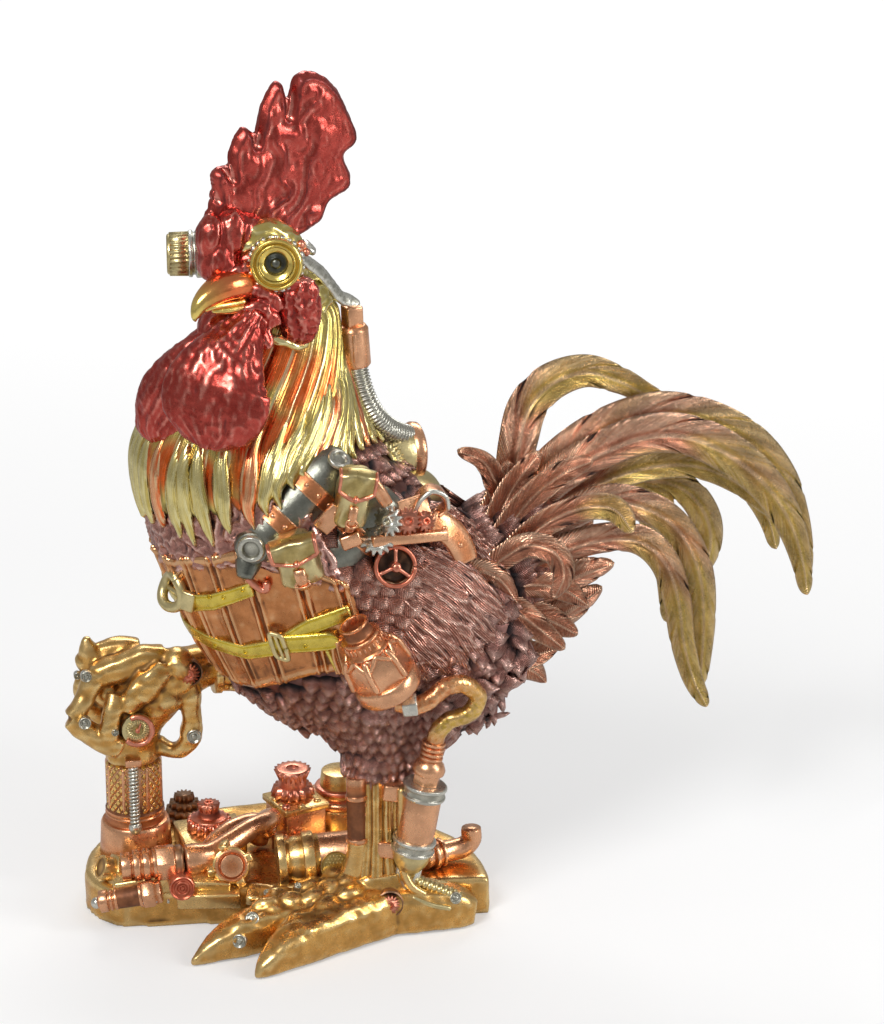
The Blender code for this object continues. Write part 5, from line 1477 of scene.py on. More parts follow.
def blade(bm, keys, face, rows, columns, pitch, lean, cup, thick, seed, gold, blunt, ridge,
          lengthwise=False):
    """A long feather along keys of x, y, z and half width, its flat side to face. Its barbs
    sweep off the shaft, or run lengthwise; gold is where its tip turns gold."""
    keys = [tuple(key) for key in keys]
    keys[-1] = (*keys[-1][:3], max(keys[-1][3], blunt * keys[-2][3]))
    path = curve(keys, rows + 1)
    run = np.concatenate([[0], np.cumsum(np.linalg.norm(np.diff(path[:, :3], axis=0), axis=1))])
    left = np.clip((run[-1] - run) / np.maximum(1.8 * path[:, 3], 0.1), 0, 1)
    path[:, 3] = np.maximum(path[:, 3] * np.sqrt(1 - (1 - left) ** 2), 0.05)
    tangent = unit(np.gradient(path[:, :3], axis=0))
    across = unit(np.cross(tangent, np.asarray(face, dtype=float)))
    table = np.hstack([path, across, np.cross(across, tangent)])

    def spot(along, around):
        side = np.where(around < 0.5, 1 - 4 * around, 4 * around - 3)
        start = np.interp(along * rows, np.arange(rows + 1), run)
        sweep = np.interp(start, run, path[:, 3]) * (0 if lengthwise else lean)
        sweep = np.minimum(np.minimum(sweep, 0.7 * start), 0.5 * (run[-1] - start))
        return side, start, start + np.abs(side) * sweep

    def barbs(along, around):
        side, start, at = spot(along, around)
        if lengthwise:
            wide = np.interp(at, run, path[:, 3])
            return side * wide * 1.6 + 0.9 * np.sin(start * 0.21 + seed + side)
        return start + 0.5 * np.sin(start * 0.5 + 2 * seed)

    def place(along, around):
        side, start, at = spot(along, around)
        values = np.stack([np.interp(at, run, column) for column in table.T], axis=1)
        centre, wide, sideways, up = values[:, :3], values[:, 3], values[:, 4:7], values[:, 7:]
        upper = np.where(around < 0.5, 1, -1)
        open_end = ((along > 1e-6) & (along < 1 - 1e-6)).astype(float)
        if lengthwise:
            split = np.zeros_like(side)
            fine = 0.3 * np.sin(2 * math.pi * barbs(along, around) / 3.1)
        else:
            far = side > 0
            split = np.sin(start * 0.61 + seed * 3 + 2.1 * far) + np.sin(start * 0.23 + seed + far)
            split = np.clip(split - 1.15, 0, 0.7) * 1.7
            fine = 0.1 * np.sin(start * 2.3 + 2 * np.sin(start * 0.4 + seed))
        outer = np.clip(np.abs(side) * 1.8 - 0.35, 0, 1)
        edge = side * wide * (1 - 0.06 * split * np.abs(side) ** 3)
        body = thick * (1 - np.abs(side) ** 1.8)
        groove = np.exp(-((np.abs(side) - 0.25) / 0.1) ** 2)
        shaft = ridge * (np.exp(-(side / 0.12) ** 2) - 0.6 * groove)
        lift = upper * (body + (shaft + (fine - 0.5 * split) * outer) * (body > 0.05 * thick))
        lift = lift - cup * wide * side ** 2
        return centre + sideways * (edge * open_end)[:, None] + up * (lift * open_end)[:, None]

    def shade(along, around):
        if gold is None:
            return np.zeros_like(along)
        side, start, at = spot(along, around)
        drift = 0.10 * np.sin(start * 0.16 + seed) + 0.08 * side
        return np.clip((at / run[-1] - gold + 0.14 + drift) / 0.26, 0, 1)
    wrap(bm, rows, columns, place, shade=shade, barb=lambda along, around: barbs(along, around) / pitch)


# Each long wing feather's start and end on the flank as x and z, and its half width.
WING_FEATHERS = (
    ((45, 145), (71, 124), 4.6), ((42, 142), (72, 117), 5.2), ((39, 138), (70, 111), 5.4),
    ((37, 133), (66, 105), 5.6), ((35, 129), (62, 100), 5.6), ((33, 124), (57, 96), 5.4),
    ((31, 119), (52, 93), 5.2), ((29, 114), (46, 91), 5))


def wing(side):
    """One wing's long feathers, laid on the flank from the lowest to the highest."""
    bm = bmesh.new()
    for order, ((x, z), (far_x, far_z), wide) in enumerate(reversed(WING_FEATHERS)):
        keys = []
        for step in range(7):
            share = step / 6
            start = Vector((x + (far_x - x) * share, side * 90,
                            z + (far_z - z) * share + 3.5 * math.sin(math.pi * share)))
            hit, _ = cast_on(start, (0, -side, 0))
            if hit is None:
                hit = Vector((start.x, keys[-1][1] - 2 * side, start.z))
            lift = -1 + 3.2 * math.sin(math.pi * min(share * 0.85 + 0.1, 1)) + 0.16 * order
            keys.append((hit.x, hit.y + side * lift, hit.z,
                         wide * (0.5, 0.85, 1, 1.05, 1, 0.85, 0.15)[step]))
        blade(bm, keys, (0.1, side, 0.25), 60 - 12 * side, 32 - 4 * side, 1.1, 0, 0.22, 1.3, order, None,
              0.5, 0, True)

    def tufts(points):
        x, y, z = points.T
        combed = np.stack([(0.78 * x - 0.63 * z) / 5, y, 0.63 * x + 0.78 * z], 1)
        clumps = 0.45 - 1.6 * np.abs(grain(combed, 2.4, 3 + side))
        return 0.9 * clumps + 0.35 * (0.45 - 1.6 * np.abs(grain(combed, 1.1, 8)))
    return press(mesh_of(bm, "wing"), tufts)


def shoulder_leaves(side):
    """Rounder scales over the wing's shoulder."""
    bm = bmesh.new()
    for row in range(7):
        for step in range(7):
            x = 12 + 5.6 * step + 2.8 * (row % 2)
            z = 138 - 4.6 * row - 1.2 * step
            if x > 40 - 0.8 * row:
                continue
            hit, way = cast_on((x, side * 90, z), (0, -side, 0))
            if hit is None:
                continue
            count = row * 7 + step
            leaf(bm, hit + way, way, (0.62 + 0.2 * scatter(count), 0, -0.75), 10.2, 5.2,
                 2 * scatter(count), 0.12)
    return bm


for name, side in (("wing_near", -1), ("wing_far", 1)):
    piece(name, wing(side), wing_plum, reach=0.3)
    piece(name + "_shoulder", shoulder_leaves(side), wing_plum, reach=0.3)

# The tail: long sickle feathers that sweep up, over and down, copper at their roots and
# antique gold at their tips, with drooping side feathers and curled saddle feathers below.

# Each feather's keys, where it turns gold, and how far its sides curl in.
SICKLES = (
    ([(73, 0, 132, 4.5), (77, 0, 148, 6), (79.5, 0, 163, 6.9), (83, 1, 175.5, 7.2), (91, 1, 184, 7),
      (103, 1, 187.4, 6), (115, 1, 183.4, 4.8), (125, 2, 177.4, 3.8), (138, 2, 170.2, 2.6),
      (146, 2, 166, 0.3)], 0.42, 0.05),
    ([(76, -3, 134, 5), (84, -3, 147.5, 6.4), (96, -3, 159.5, 7), (111, -3, 168.2, 7.4),
      (128, -3, 172.2, 7.6),
      (145.5, -3, 168.4, 7.4), (161, -3, 159, 7), (171.6, -3, 146, 6.2), (177.6, -3, 132, 4.8),
      (181, -3, 120, 3.4), (182.4, -3, 109, 0.3)], 0.46, 0.2),
    ([(78, -8, 136, 5), (90, -8, 150, 6.6), (105, -8, 160, 7.2), (122, -8, 166, 7.4), (138, -8, 165, 7.4),
      (153, -8, 157, 7.2), (166, -8, 145, 6.4), (174.4, -8, 131, 5.2), (179, -8, 117, 3.8),
      (181.2, -8, 104, 0.3)], 0.55, 0.2),
    ([(86, -1, 138, 5), (106, -1, 147, 6), (125, 0, 152, 6), (143, 1, 151, 5.2), (158, 2, 143, 4),
      (171, 2, 131, 0.3)], 0.35, 0.1),
    ([(118, 9, 148, 5), (138, 10, 149, 5), (153, 11, 145, 4.4), (164, 12, 137, 4), (171, 13, 126, 3.4),
      (175, 14, 113, 0.3)], 0.2, 0.1),
    ([(92, 8, 136, 5), (110, 9, 141, 5.4), (127, 11, 143, 5.6), (141, 12, 138, 5.4), (149, 13, 127, 5.4),
      (151, 15, 115, 4.8), (148, 16, 103, 0.3)], 0.3, 0.2),
    ([(88, 7, 137, 4.6), (106, 8, 141, 5), (124, 10, 141, 4.4), (137, 12, 133, 0.3)], 0.4, 0.1),
    ([(80, -14, 130, 5), (91, -16, 139, 5.8), (107, -16, 146, 6), (122, -17, 143, 5.8),
      (133, -17, 134, 5.6), (140, -18, 119, 5.4), (142, -18, 101, 4.8), (141.5, -18, 81, 3.4),
      (141, -18, 75, 0.3)], 0.5, 0.16),
    ([(78, -18, 122, 5), (91, -20, 130, 5.6), (105, -21, 134, 5.6), (118, -21, 133, 5.4),
      (127, -22, 125, 5.2), (132, -22, 111, 5), (134, -23, 96, 4.4), (138, -23, 81, 3.6),
      (143, -24, 70.5, 0.3)], 0.5, 0.2),
    ([(72, -18, 128, 4.4), (80, -20, 137, 5), (89, -22, 144, 5), (100, -24, 148, 5), (109, -25, 146.5, 4.6),
      (115, -26, 138, 0.3)], 0.75, -0.3),
    ([(80, -3, 132, 4), (75, -4, 142, 4.6), (71, -5, 151, 4.4), (66, -7, 160, 3.4), (57, -8, 164.5, 0.3)],
     None, -0.25),
    ([(82, 14, 130, 5), (96, 17, 140, 5.6), (112, 19, 143, 5.6), (125, 20, 135, 5.4), (133, 20, 121, 5),
      (137, 20, 104, 4.2), (138, 20, 84, 0.3)], 0.5, 0.16),
    ([(64, -15, 122, 3.6), (71, -15, 134, 4.6), (80, -13, 146, 5), (92, -11, 155, 4.6),
      (104, -9, 159, 0.3)], None, -0.2),
    ([(66, -11, 126, 3.6), (70, -10, 138, 4.4), (76, -8, 150, 4.6), (86, -6, 162, 0.3)], None, -0.2),
    ([(62, -6, 124, 3.6), (67, -6, 134, 4.6), (72, -4, 146, 4.6), (76, -3, 158, 0.3)], None, -0.1),
)
CURLS = (
    [(62, -22, 122, 3.6), (70, -23, 130, 4.6), (79, -24, 135, 4.6), (88, -25, 132, 4.4),
     (91, -26, 124, 4), (87, -28, 116, 0.3)],
    [(76, -14, 108, 5.4), (85, -16, 114, 6.2), (97, -18, 120, 5.8), (110, -20, 125, 0.3)],
    [(74, -10, 98, 6), (84, -12, 101, 6.6), (95, -13, 105, 6), (107, -14, 114, 0.3)],
    [(59, -20, 118, 4.6), (69, -21, 114, 5.4), (80, -22, 106, 5), (93, -21, 94, 0.3)],
    [(56, -20, 110, 4.8), (63, -21, 107, 5.4), (70, -21, 100, 5), (77, -21, 88, 0.3)],
    [(54, -24, 124, 3.6), (62, -26, 127, 4.2), (69, -28, 124, 4), (75, -28, 115, 0.3)],
    [(58, -14, 96, 5.4), (70, -14, 93, 6.2), (81, -14, 90, 5.6), (92, -14, 92, 0.3)],
    [(70, -20, 118, 4.6), (80, -21, 119, 5.2), (91, -21, 117, 4.8), (101, -21, 110, 0.3)],
    [(70, -12, 88, 5), (76, -12, 86, 5.4), (83, -12, 83, 4.6), (88, -12, 78, 0.3)],
    [(66, -17, 108, 5), (77, -18, 108, 5.6), (88, -18, 104, 5.2), (98, -18, 98, 0.3)],
)


def tail(bm):
    """The sickles and the drooping feathers."""
    for order, (keys, gold, cup) in enumerate(SICKLES):
        long = sum(math.dist(a[:3], b[:3]) for a, b in zip(keys, keys[1:]))
        blade(bm, keys, (0, -1, 0), max(36, int(long / 0.95)), 20, 0.8, 2.6, cup + 0.08, 1.4, order, gold,
              0.62, 0.4)


def saddle(side):
    """The curls on one side of the rump."""
    bm = bmesh.new()
    for order, keys in enumerate(CURLS):
        keys = [(x, -side * y, z, wide) for x, y, z, wide in keys]
        blade(bm, keys, (0.1, side, 0.1), 44, 20, 0.8, 2.6, 0.3 if order % 3 else -0.16, 1.4, order, None,
              0.4, 0.35)
    return bm


piece("tail_feathers", tail, tail_copper, reach=0.3)
for name, side in (("saddle_near", -1), ("saddle_far", 1)):
    piece(name, saddle(side), tail_copper, reach=0.3)

# The hackle: the cape of neck feathers, one flowing skin of fine locks that end in points
# over breast and shoulders, old gold with orange-red streaks brushed along the locks.

hackle_gold = paint("hackle_gold", (0.70, 0.54, 0.145), (1, 0.93, 0.55), (0.07, 0.055, 0.015),
                    second=(0.95, 0.14, 0.015), scale=110, roughness=0.2, glint_share=0.6, lines=0.2,
                    dirt_and_shade_share=0.6, bump=0.1)
CAPE_TOP = 11.95
# Each streak's head and foot as slice and degrees, and how wide it is.
STREAKS = (
    (10.5, 294, 9.2, 280.5, 5), (8.9, 309, 8.1, 293.5, 4), (8.3, 259, 6.9, 252.5, 3.4),
    (8.9, 275.5, 7.8, 267.5, 3.6), (7.4, 234, 6.5, 238, 2.8), (7.5, 216.5, 6.4, 214.5, 2.8),
    (7.2, 201.5, 6.3, 201.5, 2.2), (10.9, 258.5, 9.9, 259, 11), (6.6, 246, 6.2, 248, 2),
    (9.3, 332, 8.2, 322, 4), (10.4, 318, 9.4, 305, 3))


def fold_over(degrees):
    """Both flanks alike: the angle as it would be on the near side."""
    degrees = np.asarray(degrees, dtype=float) % 360
    return np.where(degrees < 180, 360 - degrees, degrees), np.where(degrees < 180, -1, 1)


def low_edge(degrees):
    """How far down the cape reaches, lowest on the breast."""
    folded, _ = fold_over(degrees)
    return np.interp(folded, (180, 213, 232, 248, 257, 268, 280, 295, 314, 360),
                     (5.45, 5.5, 5.75, 6.15, 6.5, 7.1, 7.5, 7.8, 8, 8.1))


def flow(degrees, share):
    """Where a lock that ends at these degrees lies higher up the neck."""
    folded, side = fold_over(degrees)
    twist = np.interp(folded, (180, 215, 236, 256, 271, 287, 301, 330, 360),
                      (0, 6, 4, 34, 56, 62, 56, 30, 0))
    return degrees + side * twist * (share ** 0.9)


def streak(along, degrees):
    """How orange each point is."""
    folded, _ = fold_over(degrees)
    shade = np.zeros_like(folded)
    for high, high_degrees, low, low_degrees, wide in STREAKS:
        share = (high - along) / (high - low)
        middle = high_degrees + (low_degrees - high_degrees) * share
        window = np.clip(1.25 - np.abs(share - 0.5) * 1.5, 0, 1)
        shade = np.maximum(shade, window * np.exp(-((folded - middle) / (2.1 * wide)) ** 2) * 1.7)
    return np.clip(shade, 0, 1)


def cape(bm):
    """The skin of the hackle."""
    locks, rows, columns = 40, 96, 360

    def spot(share, around):
        base = 360 * around
        lock = around * locks
        border = np.abs(2 * (lock % 1) - 1)
        uneven = np.sin(np.floor(lock) * 2.4) * 0.12
        low = low_edge(base) + (0.42 + uneven) * border ** 1.3
        return base, lock, border, low + (CAPE_TOP - low) * share

    def place(share, around):
        base, lock, border, along = spot(share, around)
        degrees = flow(base, share) + 1.6 * np.sin(share * 9 + base * 0.05)
        big = 1.25 * (1 - border ** 2) - 0.3 * np.exp(-((1 - border) / 0.16) ** 2)
        fine = (0.16 * np.cos(2 * math.pi * (lock * 3 + 0.25 * np.sin(share * 16 + lock)))
                + 0.06 * np.cos(2 * math.pi * (lock * 5 + 0.3 * np.sin(share * 11 + 2 * lock))))
        swell = 0.9 * np.sin(base * 0.12 + share * 5)
        size = 0.45 + 0.55 * np.clip(1 - share, 0, 1) ** 0.7
        out = 2.3 + (big + fine + 0.4 * swell) * size
        out = out - 4 * np.clip((share - 0.86) / 0.14, 0, 1) ** 1.5
        row = np.rint(share * rows)
        out = np.where(row == 0, -2.5, np.where(row == 1, 0.2, np.where(row == 2, out - 0.9, out)))
        return on_trunk(along, degrees, out)[0]

    def shade(share, around):
        base, _, _, along = spot(share, around)
        return streak(along, flow(base, share))
    wrap(bm, rows, columns, place, shade=shade, barb=lambda share, around: around * locks * 9)
    bmesh.ops.holes_fill(bm, edges=[edge for edge in bm.edges if edge.is_boundary])


def fringe(bm):
    """Loose pointed locks that lie over the lower edge of the cape."""
    for count in range(44):
        base = 360 * (count + 0.5 + 0.25 * scatter(count)) / 44
        low = float(low_edge(base))
        keys, middle = [], None
        drop = 0.3 + 0.2 * scatter(count + 9)
        for step, (lift, wide, out) in enumerate(((2.3, 0.8, 1.6), (1.7, 2.2, 3), (1.1, 3.1, 3.6),
                                                  (0.5, 3.2, 3.7), (0.05, 2.3, 3.3), (-drop, 0.2, 2.3))):
            along = low + lift
            share = max(lift, 0) / (CAPE_TOP - low)
            bend = 2 * scatter(count + 4) * (1 - step / 5)
            point, way = on_trunk(along, float(flow(base, share)) + bend, out)
            keys.append((*point, wide))
            if step == 3:
                middle = way
        blade(bm, keys, middle, 26, 16, 1, 0, 0.12, 1.1, count,
              None if count % 5 else 0.15, 0.05, 0, True)


piece("hackle_cape", cape, hackle_gold, reach=0.3)
piece("hackle_fringe", fringe, hackle_gold, reach=0.3)

# The head: a feathered gold cap and jaw, the hooked beak, and the red skin of face, ear
# lobes, wattles and comb, modelled with foil-like wrinkles under a glossy lacquer.

lacquer_red = paint("lacquer_red", (0.46, 0.052, 0.038), (1, 0.42, 0.33), (0.06, 0.005, 0.005),
                    scale=150, roughness=0.25, coat=0.12)
beak_gold = paint("beak_gold", (0.88, 0.66, 0.17), (1, 0.84, 0.36), (0.14, 0.04, 0.006),
                  second=(0.80, 0.045, 0.003), scale=120, roughness=0.2, glint_share=0.25)


def ball(bm, middle, radii, turn=(0, 0, 0)):
    """An egg shape with its three radii, turned by degrees."""
    part = bmesh.new()
    bmesh.ops.create_uvsphere(part, u_segments=28, v_segments=18, radius=1)
    bmesh.ops.scale(part, verts=part.verts, vec=radii)
    add(bm, part, Matrix.Translation(middle) @ turn_by(turn))


def crinkle(size, depth, seed, stretch):
    """Foil wrinkles: sharp crests between soft hollows."""
    def relief(points):
        crests = 0.42 - np.abs(grain(points, size, seed, stretch)) * 1.6
        small = 0.4 - np.abs(grain(points, size * 0.45, seed + 5, stretch)) * 1.5
        return depth * (crests + 0.45 * small)
    return relief


def skull(bm):
    """Cap, jaw and the top of the neck, with short feathers swept back."""
    ball(bm, (-7, -5, 232.5), (14.4, 14, 13.6), (0, 0, 20))
    ball(bm, (-7, -2, 222), (13.5, 15, 12))
    ball(bm, (-5.2, -12.6, 241), (12, 6, 8.6), (0, 26, 20))
    ball(bm, (-13.8, -15, 242), (3.2, 3.4, 6.4), (0, 12, 0))
    ball(bm, (1, -3, 218.5), (14.6, 13.6, 12.6))
    tube(bm, [(-10, -20, 208.6, 1), (-8, -22, 211.6, 1.7), (-3, -22.6, 210.6, 1.8), (2, -22, 208.4, 1.6),
              (6, -19.5, 209, 1)], 12, 20)
    mesh = recast(bm, 0.75, 2)
    return press(mesh, lambda points: 0.55 * grain(points, 2.2, 4, (2.6, 1.4, 1))
                 + 0.25 * grain(points, 1.2, 8, (3, 1.4, 1)))


def beak(bm):
    """Upper beak, hooked, and the thin lower one."""
    root = lambda along, around: np.clip((0.72 - along) / 0.36, 0, 1)
    limb(bm, [(-12, -15.5, 229, 5.2, 5), (-17, -19.4, 230.4, 6, 5.4), (-22, -23, 230.6, 5.6, 4.8),
              (-27, -26.4, 229, 4.2, 3.9), (-30.6, -28.8, 226.4, 2.7, 2.8),
              (-32.2, -30, 223, 1.4, 1.5), (-32.2, -30.2, 221.2, 0.2, 0.2)],
         UP, 40, 28, 2.2, shade=root)
    limb(bm, [(-10, -14.5, 224, 5, 2.4), (-15.5, -19, 223.2, 4.6, 2.2), (-21, -23, 223, 3.2, 1.8),
              (-26.4, -26.8, 223.6, 1.2, 1)], UP, 24, 20, 2.2, shade=root)
    tube(bm, [(-14.7, -23, 225.4, 0.9), (-20, -25.2, 225.2, 1), (-25, -27.8, 225.4, 0.9),
              (-29.4, -29.8, 224.8, 0.7)], 8, 20)


def face(bm):
    """Wrinkled skin round beak and eyes, and the folds that run to ear and throat."""
    ball(bm, (-11, -13, 226), (9, 8.5, 9), (0, 0, 30))
    ball(bm, (-10, 5, 226), (9, 8, 9))
    ball(bm, (-13, -14, 217), (9.5, 8.5, 8.5))
    ball(bm, (-22, -17, 213), (9.5, 8.5, 8), (0, 30, 0))
    ball(bm, (-14, -2, 214), (11, 12, 9))
    ball(bm, (-13, -14.2, 235.4), (5.4, 4.6, 5.4))
    for keys in (
            [(-25, -21.4, 232.2, 1.2), (-19.4, -21.4, 234.6, 1.8), (-14, -20.2, 236.4, 2),
             (-9, -18, 237, 1.4)],
            [(-16, -20.5, 230.5, 1.6), (-11, -22, 228.6, 2.2), (-6, -22.4, 225.6, 2.4),
             (-3, -21.6, 222, 1.8)],
            [(-17, -22.6, 222, 1.6), (-12, -23.2, 223.4, 2.2), (-7.5, -23.6, 221, 2.5),
             (-5.4, -23.4, 216, 2.2)],
            [(-20, -22.5, 217.6, 1.8), (-14.5, -24, 217.6, 2.4), (-10, -24.6, 214.6, 2.6),
             (-8, -25, 209, 2.2)],
            [(-25, -22, 213.6, 1.8), (-20, -25, 213.4, 2.4), (-15, -26.6, 210.6, 2.6),
             (-12, -27, 205, 2.2)],
            [(-22, -18, 218, 1.8), (-26, -18, 213, 2.4), (-31, -18, 208, 2.8), (-36, -17, 202, 2.6)]):
        tube(bm, keys, 14, 24)
    return press(recast(bm, 0.6, 1), crinkle(4.2, 0.7, 2, (1, 1, 1.8)))


def ear_lobe(y, side):
    """A hanging lobe with a rolled rim and wavy folds."""
    bm = bmesh.new()

    def folds(along, around):
        x = np.cos(2 * math.pi * around)
        front = np.abs(np.sin(2 * math.pi * around))
        return 0.9 * np.abs(x) ** 6 + front * (0.4 * np.cos(x * 8 + 2.4 * np.sin(along * 7)) - 0.4)
    limb(bm, [(4, y + 2 * side, 232.4, 2.4, 2.2), (3.6, y + side, 228.8, 4.6, 3.4), (2.9, y, 222.4, 6, 4.2),
              (2.5, y - side * 0.8, 215.4, 5.7, 4.2), (2.5, y - side, 210.8, 3.8, 3.2),
              (2.6, y - side, 208.4, 0.8, 0.8)], (0.05, 1, 0), 60, 56, 2.2, folds)
    return press(mesh_of(bm, "ear_lobe"), crinkle(3, 0.7, 1 + side, (1, 1, 1.4)))


def wattle(keys, seed):
    """A broad hanging lobe: thick rolled rim, wrinkles fanning down its face."""
    bm = bmesh.new()

    def fan(along, around):
        x = np.cos(2 * math.pi * around)
        front = np.abs(np.sin(2 * math.pi * around))
        lines = np.cos(x * 13 + 1.8 * np.sin(along * 9 + seed) + seed)
        lines += 0.7 * np.cos(x * 24 + 2 * np.sin(along * 15 + 2 * seed))
        return 0.9 * np.abs(x) ** 8 + 0.2 * front * lines - 0.7 * front * np.abs(x) ** 2
    limb(bm, keys, (-0.35, -0.93, 0.1), 96, 96, 2.3, fan)
    mesh = mesh_of(bm, "wattle")
    return press(mesh, crinkle(3.6, 0.5, seed, (1, 1, 2)))


def on_comb(along, up, depth):
    """A point in the comb's blade, which is turned towards the viewer in front."""
    turn = math.radians(23.5)
    return np.stack([-28 + along * math.cos(turn) - depth * math.sin(turn),
                     -14 + along * math.sin(turn) + depth * math.cos(turn), up + 0 * depth], -1)


COMB_OUTLINE = (
    (-1.5, 235), (0, 244.5), (0.9, 252.5), (2.2, 251.6), (3.1, 259.5), (4.6, 257.4), (3.5, 265.1),
    (6.9, 267.8), (10.4, 263.6), (10.3, 271.9), (15.1, 279.9), (18.4, 277.4), (19.8, 273.8), (22.5, 285.8),
    (27.7, 293.5), (30.9, 290.1), (32, 281.5), (34.3, 292.6), (37.7, 295.3), (43.1, 294.6), (49.1, 290.1),
    (53.1, 283.6), (57.7, 272.6), (56.7, 268.5), (52.8, 265.3), (55.5, 258.2), (54.1, 253.5), (47.2, 250.2),
    (43.7, 244.5), (38.8, 241.9), (33.4, 240), (24, 234), (10, 230))


def comb(bm):
    """One blade: pillowed between its edges, ridges rising from its root into every tooth."""
    outline = curve(COMB_OUTLINE + COMB_OUTLINE[:1], 240)[:-1]
    half = 3
    foot = bmesh.ops.contextual_create(bm, geom=[bm.verts.new((x, z, -half)) for x, z in outline])
    raise_faces(bm, foot["faces"], 2 * half)
    bmesh.ops.triangulate(bm, faces=bm.faces)
    mesh = recast(bm, 0.62, 2)
    points, _ = points_of(mesh)
    flat = points[:, :2]
    near = np.full(len(flat), 1e9)
    for start, end in zip(outline, np.roll(outline, -1, axis=0)):
        line = end - start
        share = np.clip((flat - start) @ line / (line @ line), 0, 1)
        near = np.minimum(near, np.linalg.norm(flat - start - share[:, None] * line, axis=1))
    turn = np.arctan2(flat[:, 1] - 214, flat[:, 0] - 12)
    wobble = grain(np.stack([flat[:, 0], flat[:, 1], 0 * near], 1), 9, 1)
    front = np.clip((50 - flat[:, 0]) / 12, 0.25, 1)
    ridge = 0.42 - np.abs(np.sin(turn * 15 + 2.2 * wobble))
    ridge += 0.35 * (0.4 - np.abs(np.sin(turn * 33 + 4 * wobble)))
    thick = 0.35 + 0.95 * (1 - np.exp(-near / 2.4)) + 0.35 * np.clip((250 - flat[:, 1]) / 14, 0, 1)
    rolled = 0.28 * np.exp(-((near - 1.8) / 1.1) ** 2)
    depth = points[:, 2] * (thick + rolled + 0.32 * front * ridge * (1 - np.exp(-near / 1.6)))
    set_points(mesh, on_comb(flat[:, 0], flat[:, 1], depth))
    return press(mesh, crinkle(3.8, 0.3, 7, (1, 1, 2)))


def comb_lobes(bm):
    """The swollen front of the comb, over the root of the beak."""
    for middle, radii in (((-23.5, -15, 238), (7.2, 7.4, 8.4)), ((-26, -17, 246), (4.6, 4.8, 7.5)),
                          ((-19, -15, 246), (5.6, 5.8, 9)), ((-20, -17.5, 234), (5.5, 5, 4.5)),
                          ((-14.5, -12, 246), (7, 6.5, 6.5))):
        ball(bm, middle, radii, (0, 8, 23))
    return press(recast(bm, 0.6, 2), crinkle(3.6, 0.65, 3, (1, 1, 2.4)))


piece("skull_cap", skull, hackle_gold)
piece("beak", beak, beak_gold)
piece("face_skin", face, lacquer_red)
piece("ear_lobe_near", ear_lobe(-21.5, -1), lacquer_red, reach=0.3)
piece("ear_lobe_far", ear_lobe(11.5, 1), lacquer_red, reach=0.3)
piece("wattle_near", wattle(
    [(-12, -22, 221, 4.5, 4), (-17, -26, 215, 7.5, 5), (-22.5, -31.5, 208, 12.5, 5.5),
     (-26, -35, 201, 16.6, 5.6),
     (-27, -36.6, 194.5, 17.4, 5.4), (-28, -37.6, 188, 15, 5), (-29, -38, 183, 9.6, 4.2),
     (-29.6, -38.2, 180.2, 3, 2)], 0.6), lacquer_red, reach=0.3)
piece("wattle_far", wattle(
    [(-22, -16, 214, 4.5, 5), (-28, -18.5, 208.5, 6, 6), (-34.5, -19, 201, 8.5, 6.5),
     (-39.8, -17, 192.5, 10, 6.6),
     (-42.6, -15, 184.5, 9.4, 6), (-44.8, -14, 178, 6.8, 4.6), (-45.4, -14, 174.4, 1.5, 1.5)], 3.2),
      lacquer_red, reach=0.3)
piece("comb", comb, lacquer_red)
piece("comb_lobes", comb_lobes, lacquer_red)

# The goggles: a stepped gold eyepiece over the near eye, a knurled one over the far eye, a
# copper collar and buckle, and a silver strap that carries the breathing hose down to a drum on the back.

NEAR_AXIS, FAR_AXIS = (-0.1, -0.97, 0.12), (-1, 0.06, 0)
DRUM_AXIS = (0.97, 0.2, -0.06)
RING_AXIS = (-0.45, -0.9, 0.1)
NEAR_EYE = (-4.3, -16.5, 236.6)


def near_eyepiece(bm):
    """Stepped rings round a deep socket."""
    turned(bm, NEAR_EYE, NEAR_AXIS,
           ((-6, 8), (2, 8.2), (5.4, 8.6), (6.2, 8.8), (7.6, 8.5), (8, 8), (7.9, 7.5), (6.6, 7.1),
            (6.6, 6.8), (7.6, 6.4), (7.6, 5.9), (6.4, 5.5), (6.3, 5.1), (5.6, 3.9), (4.2, 3.6),
            (3.8, 2.4)), 56, 0.12)


def goggle_copper(bm):
    """The far eyepiece's collar and the small buckle by the strap."""
    turned(bm, (-18, 8.8, 232.6), FAR_AXIS, ((-2, 7.8), (6.2, 7.8), (6.8, 6.8), (9.4, 6.8)), 36, 0.25)
    box(bm, (4.8, -12.6, 239.6), (3, 1.4, 4.2), (10, -20, 30), 0.4)


